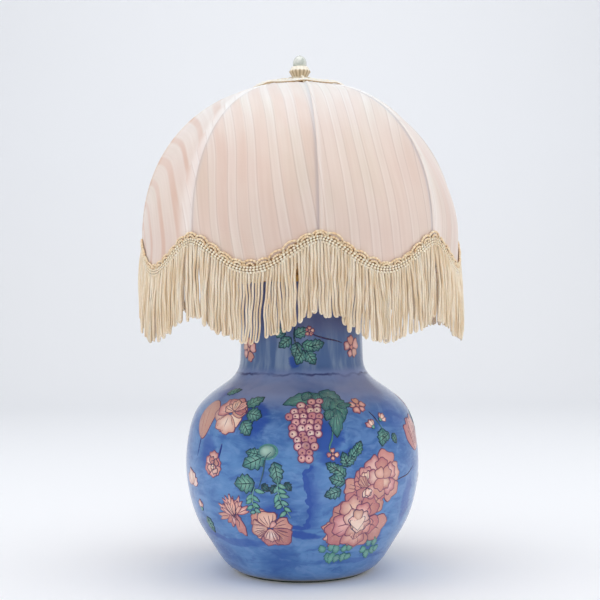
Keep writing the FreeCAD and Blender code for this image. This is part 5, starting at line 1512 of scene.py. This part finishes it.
# Each fitting has two tones, a roughness, the noise's scale, a relief in mm, how the marks are drawn
# out, fixed values and the nodes that it dresses.
FITTINGS = (
    ("brass", srgb(206, 168, 98), srgb(142, 106, 58), 0.22, 60, 0.05, TURNED, METAL,
     "vase_cap brass_spindle harp_saddle harp_bow harp_seat harp_stud left_sleeve right_sleeve holder_cap "
     "holder_shell contact_shell centre_contact switch_shaft finial_insert"),
    ("plated_steel", srgb(186, 188, 190), srgb(128, 128, 124), 0.3, 70, 0.05, TURNED, METAL,
     "steel_washer bottom_nut lamp_pipe saddle_nut terminal_screws"),
    ("black_rubber", srgb(34, 33, 34), srgb(58, 56, 54), 0.6, 120, 0.1, EVEN, {},
     "cord_bushing rubber_washer mouth_gasket"),
    ("green_felt", srgb(30, 48, 40), srgb(52, 72, 58), 0.8, 260, 0.4, EVEN, {"Sheen_Weight": 0.4},
     "base_felt"),
    ("insulating_paper", srgb(188, 168, 130), srgb(148, 126, 92), 0.65, 90, 0.1, (1, 1, 0.1), {},
     "paper_liner"),
    ("moulded_insulator", srgb(30, 25, 23), srgb(54, 44, 38), 0.25, 80, 0.05, EVEN, SHELLAC,
     "holder_insert switch_knob bulb_insulator"),
    ("bulb_glass", srgb(244, 243, 238), srgb(232, 231, 226), 0.22, 30, 0.05, EVEN, PEARL,
     "bulb_glass bulb_stem"),
    ("bulb_metal", srgb(200, 194, 180), srgb(148, 142, 130), 0.25, 90, 0.05, TURNED, METAL,
     "bulb_base bulb_button bulb_filament"),
    ("frame_wire", srgb(232, 226, 210), srgb(196, 180, 150), 0.35, 60, 0.08, EVEN, {},
     "shade_ring shade_hub spider_arms hem_wire " + " ".join(f"shade_rib_{k + 1}" for k in range(GORES))),
    ("finial_stone", srgb(224, 226, 220), srgb(178, 188, 178), 0.1, 150, 0.03, (1, 1, 0.3), POLISH,
     "finial_dome"),
)
FLUTES = 16
CUP_RIM = 596 * MM


def drifting_finish(name, pale, deep, roughness, scale, relief, stretch, fixed):
    """A finish that drifts from one tone to another, with fine marks drawn out by the stretch."""
    finish = Finish(name + "_finish", **fixed)
    slow = finish.noise(scale, 4, 0.6)
    marks = finish.noise(scale * 12, 3, 0.6, stretch=stretch)
    colour = finish.blend(slow.ramp(0.35, 0.7), pale, deep)
    return finish.done(colour, slow * 0.15 + marks * 0.18 + roughness, slow + marks, relief * MM, 0.5)


def finial_cup_finish():
    """Cream glaze with sixteen flutes, darkened in their grooves as painted shade, under a plain pale rim.
    """
    finish = Finish("finial_cream", Coat_Weight=0.4, Coat_Roughness=0.15)
    x, y, z = finish.split(finish.place())
    # The bump sinks the flutes, and their colour darkens in the grooves as painted shade.
    flute = (finish.turn(x, y) * FLUTES + math.pi / 2).math("SINE")
    grime = finish.noise(420)
    colour = finish.layered(
        srgb(228, 212, 184), (flute.ramp(-0.2, 0.9, 0.0, 0.75), srgb(158, 138, 108)),
        (grime.ramp(0.5, 0.75, 0.0, 0.5), srgb(206, 184, 148)),
        (z.ramp(CUP_RIM - 0.5 * MM, CUP_RIM + 0.8 * MM) * 0.85, srgb(250, 244, 230)),
    )
    return finish.done(colour, grime * 0.2 + 0.35, grime * 0.3 - flute, 0.3 * MM, 0.8)


def dress(names, finish):
    """Gives CAD nodes a finish through their objects' own material slots."""
    for name in names:
        for place in nodes[name].material_slots:
            place.material = finish.material


for *look, names in FITTINGS:
    dress(names.split(), drifting_finish(*look))
dress(["finial_cup"], finial_cup_finish())
dress(["vase"], ground_glaze)
dressed = {name for row in FITTINGS for name in row[-1].split()} | {"finial_cup", "vase"}
print("CAD nodes dressed:", len(dressed), "of", len(nodes))
print("not dressed:", sorted(set(nodes) - dressed))
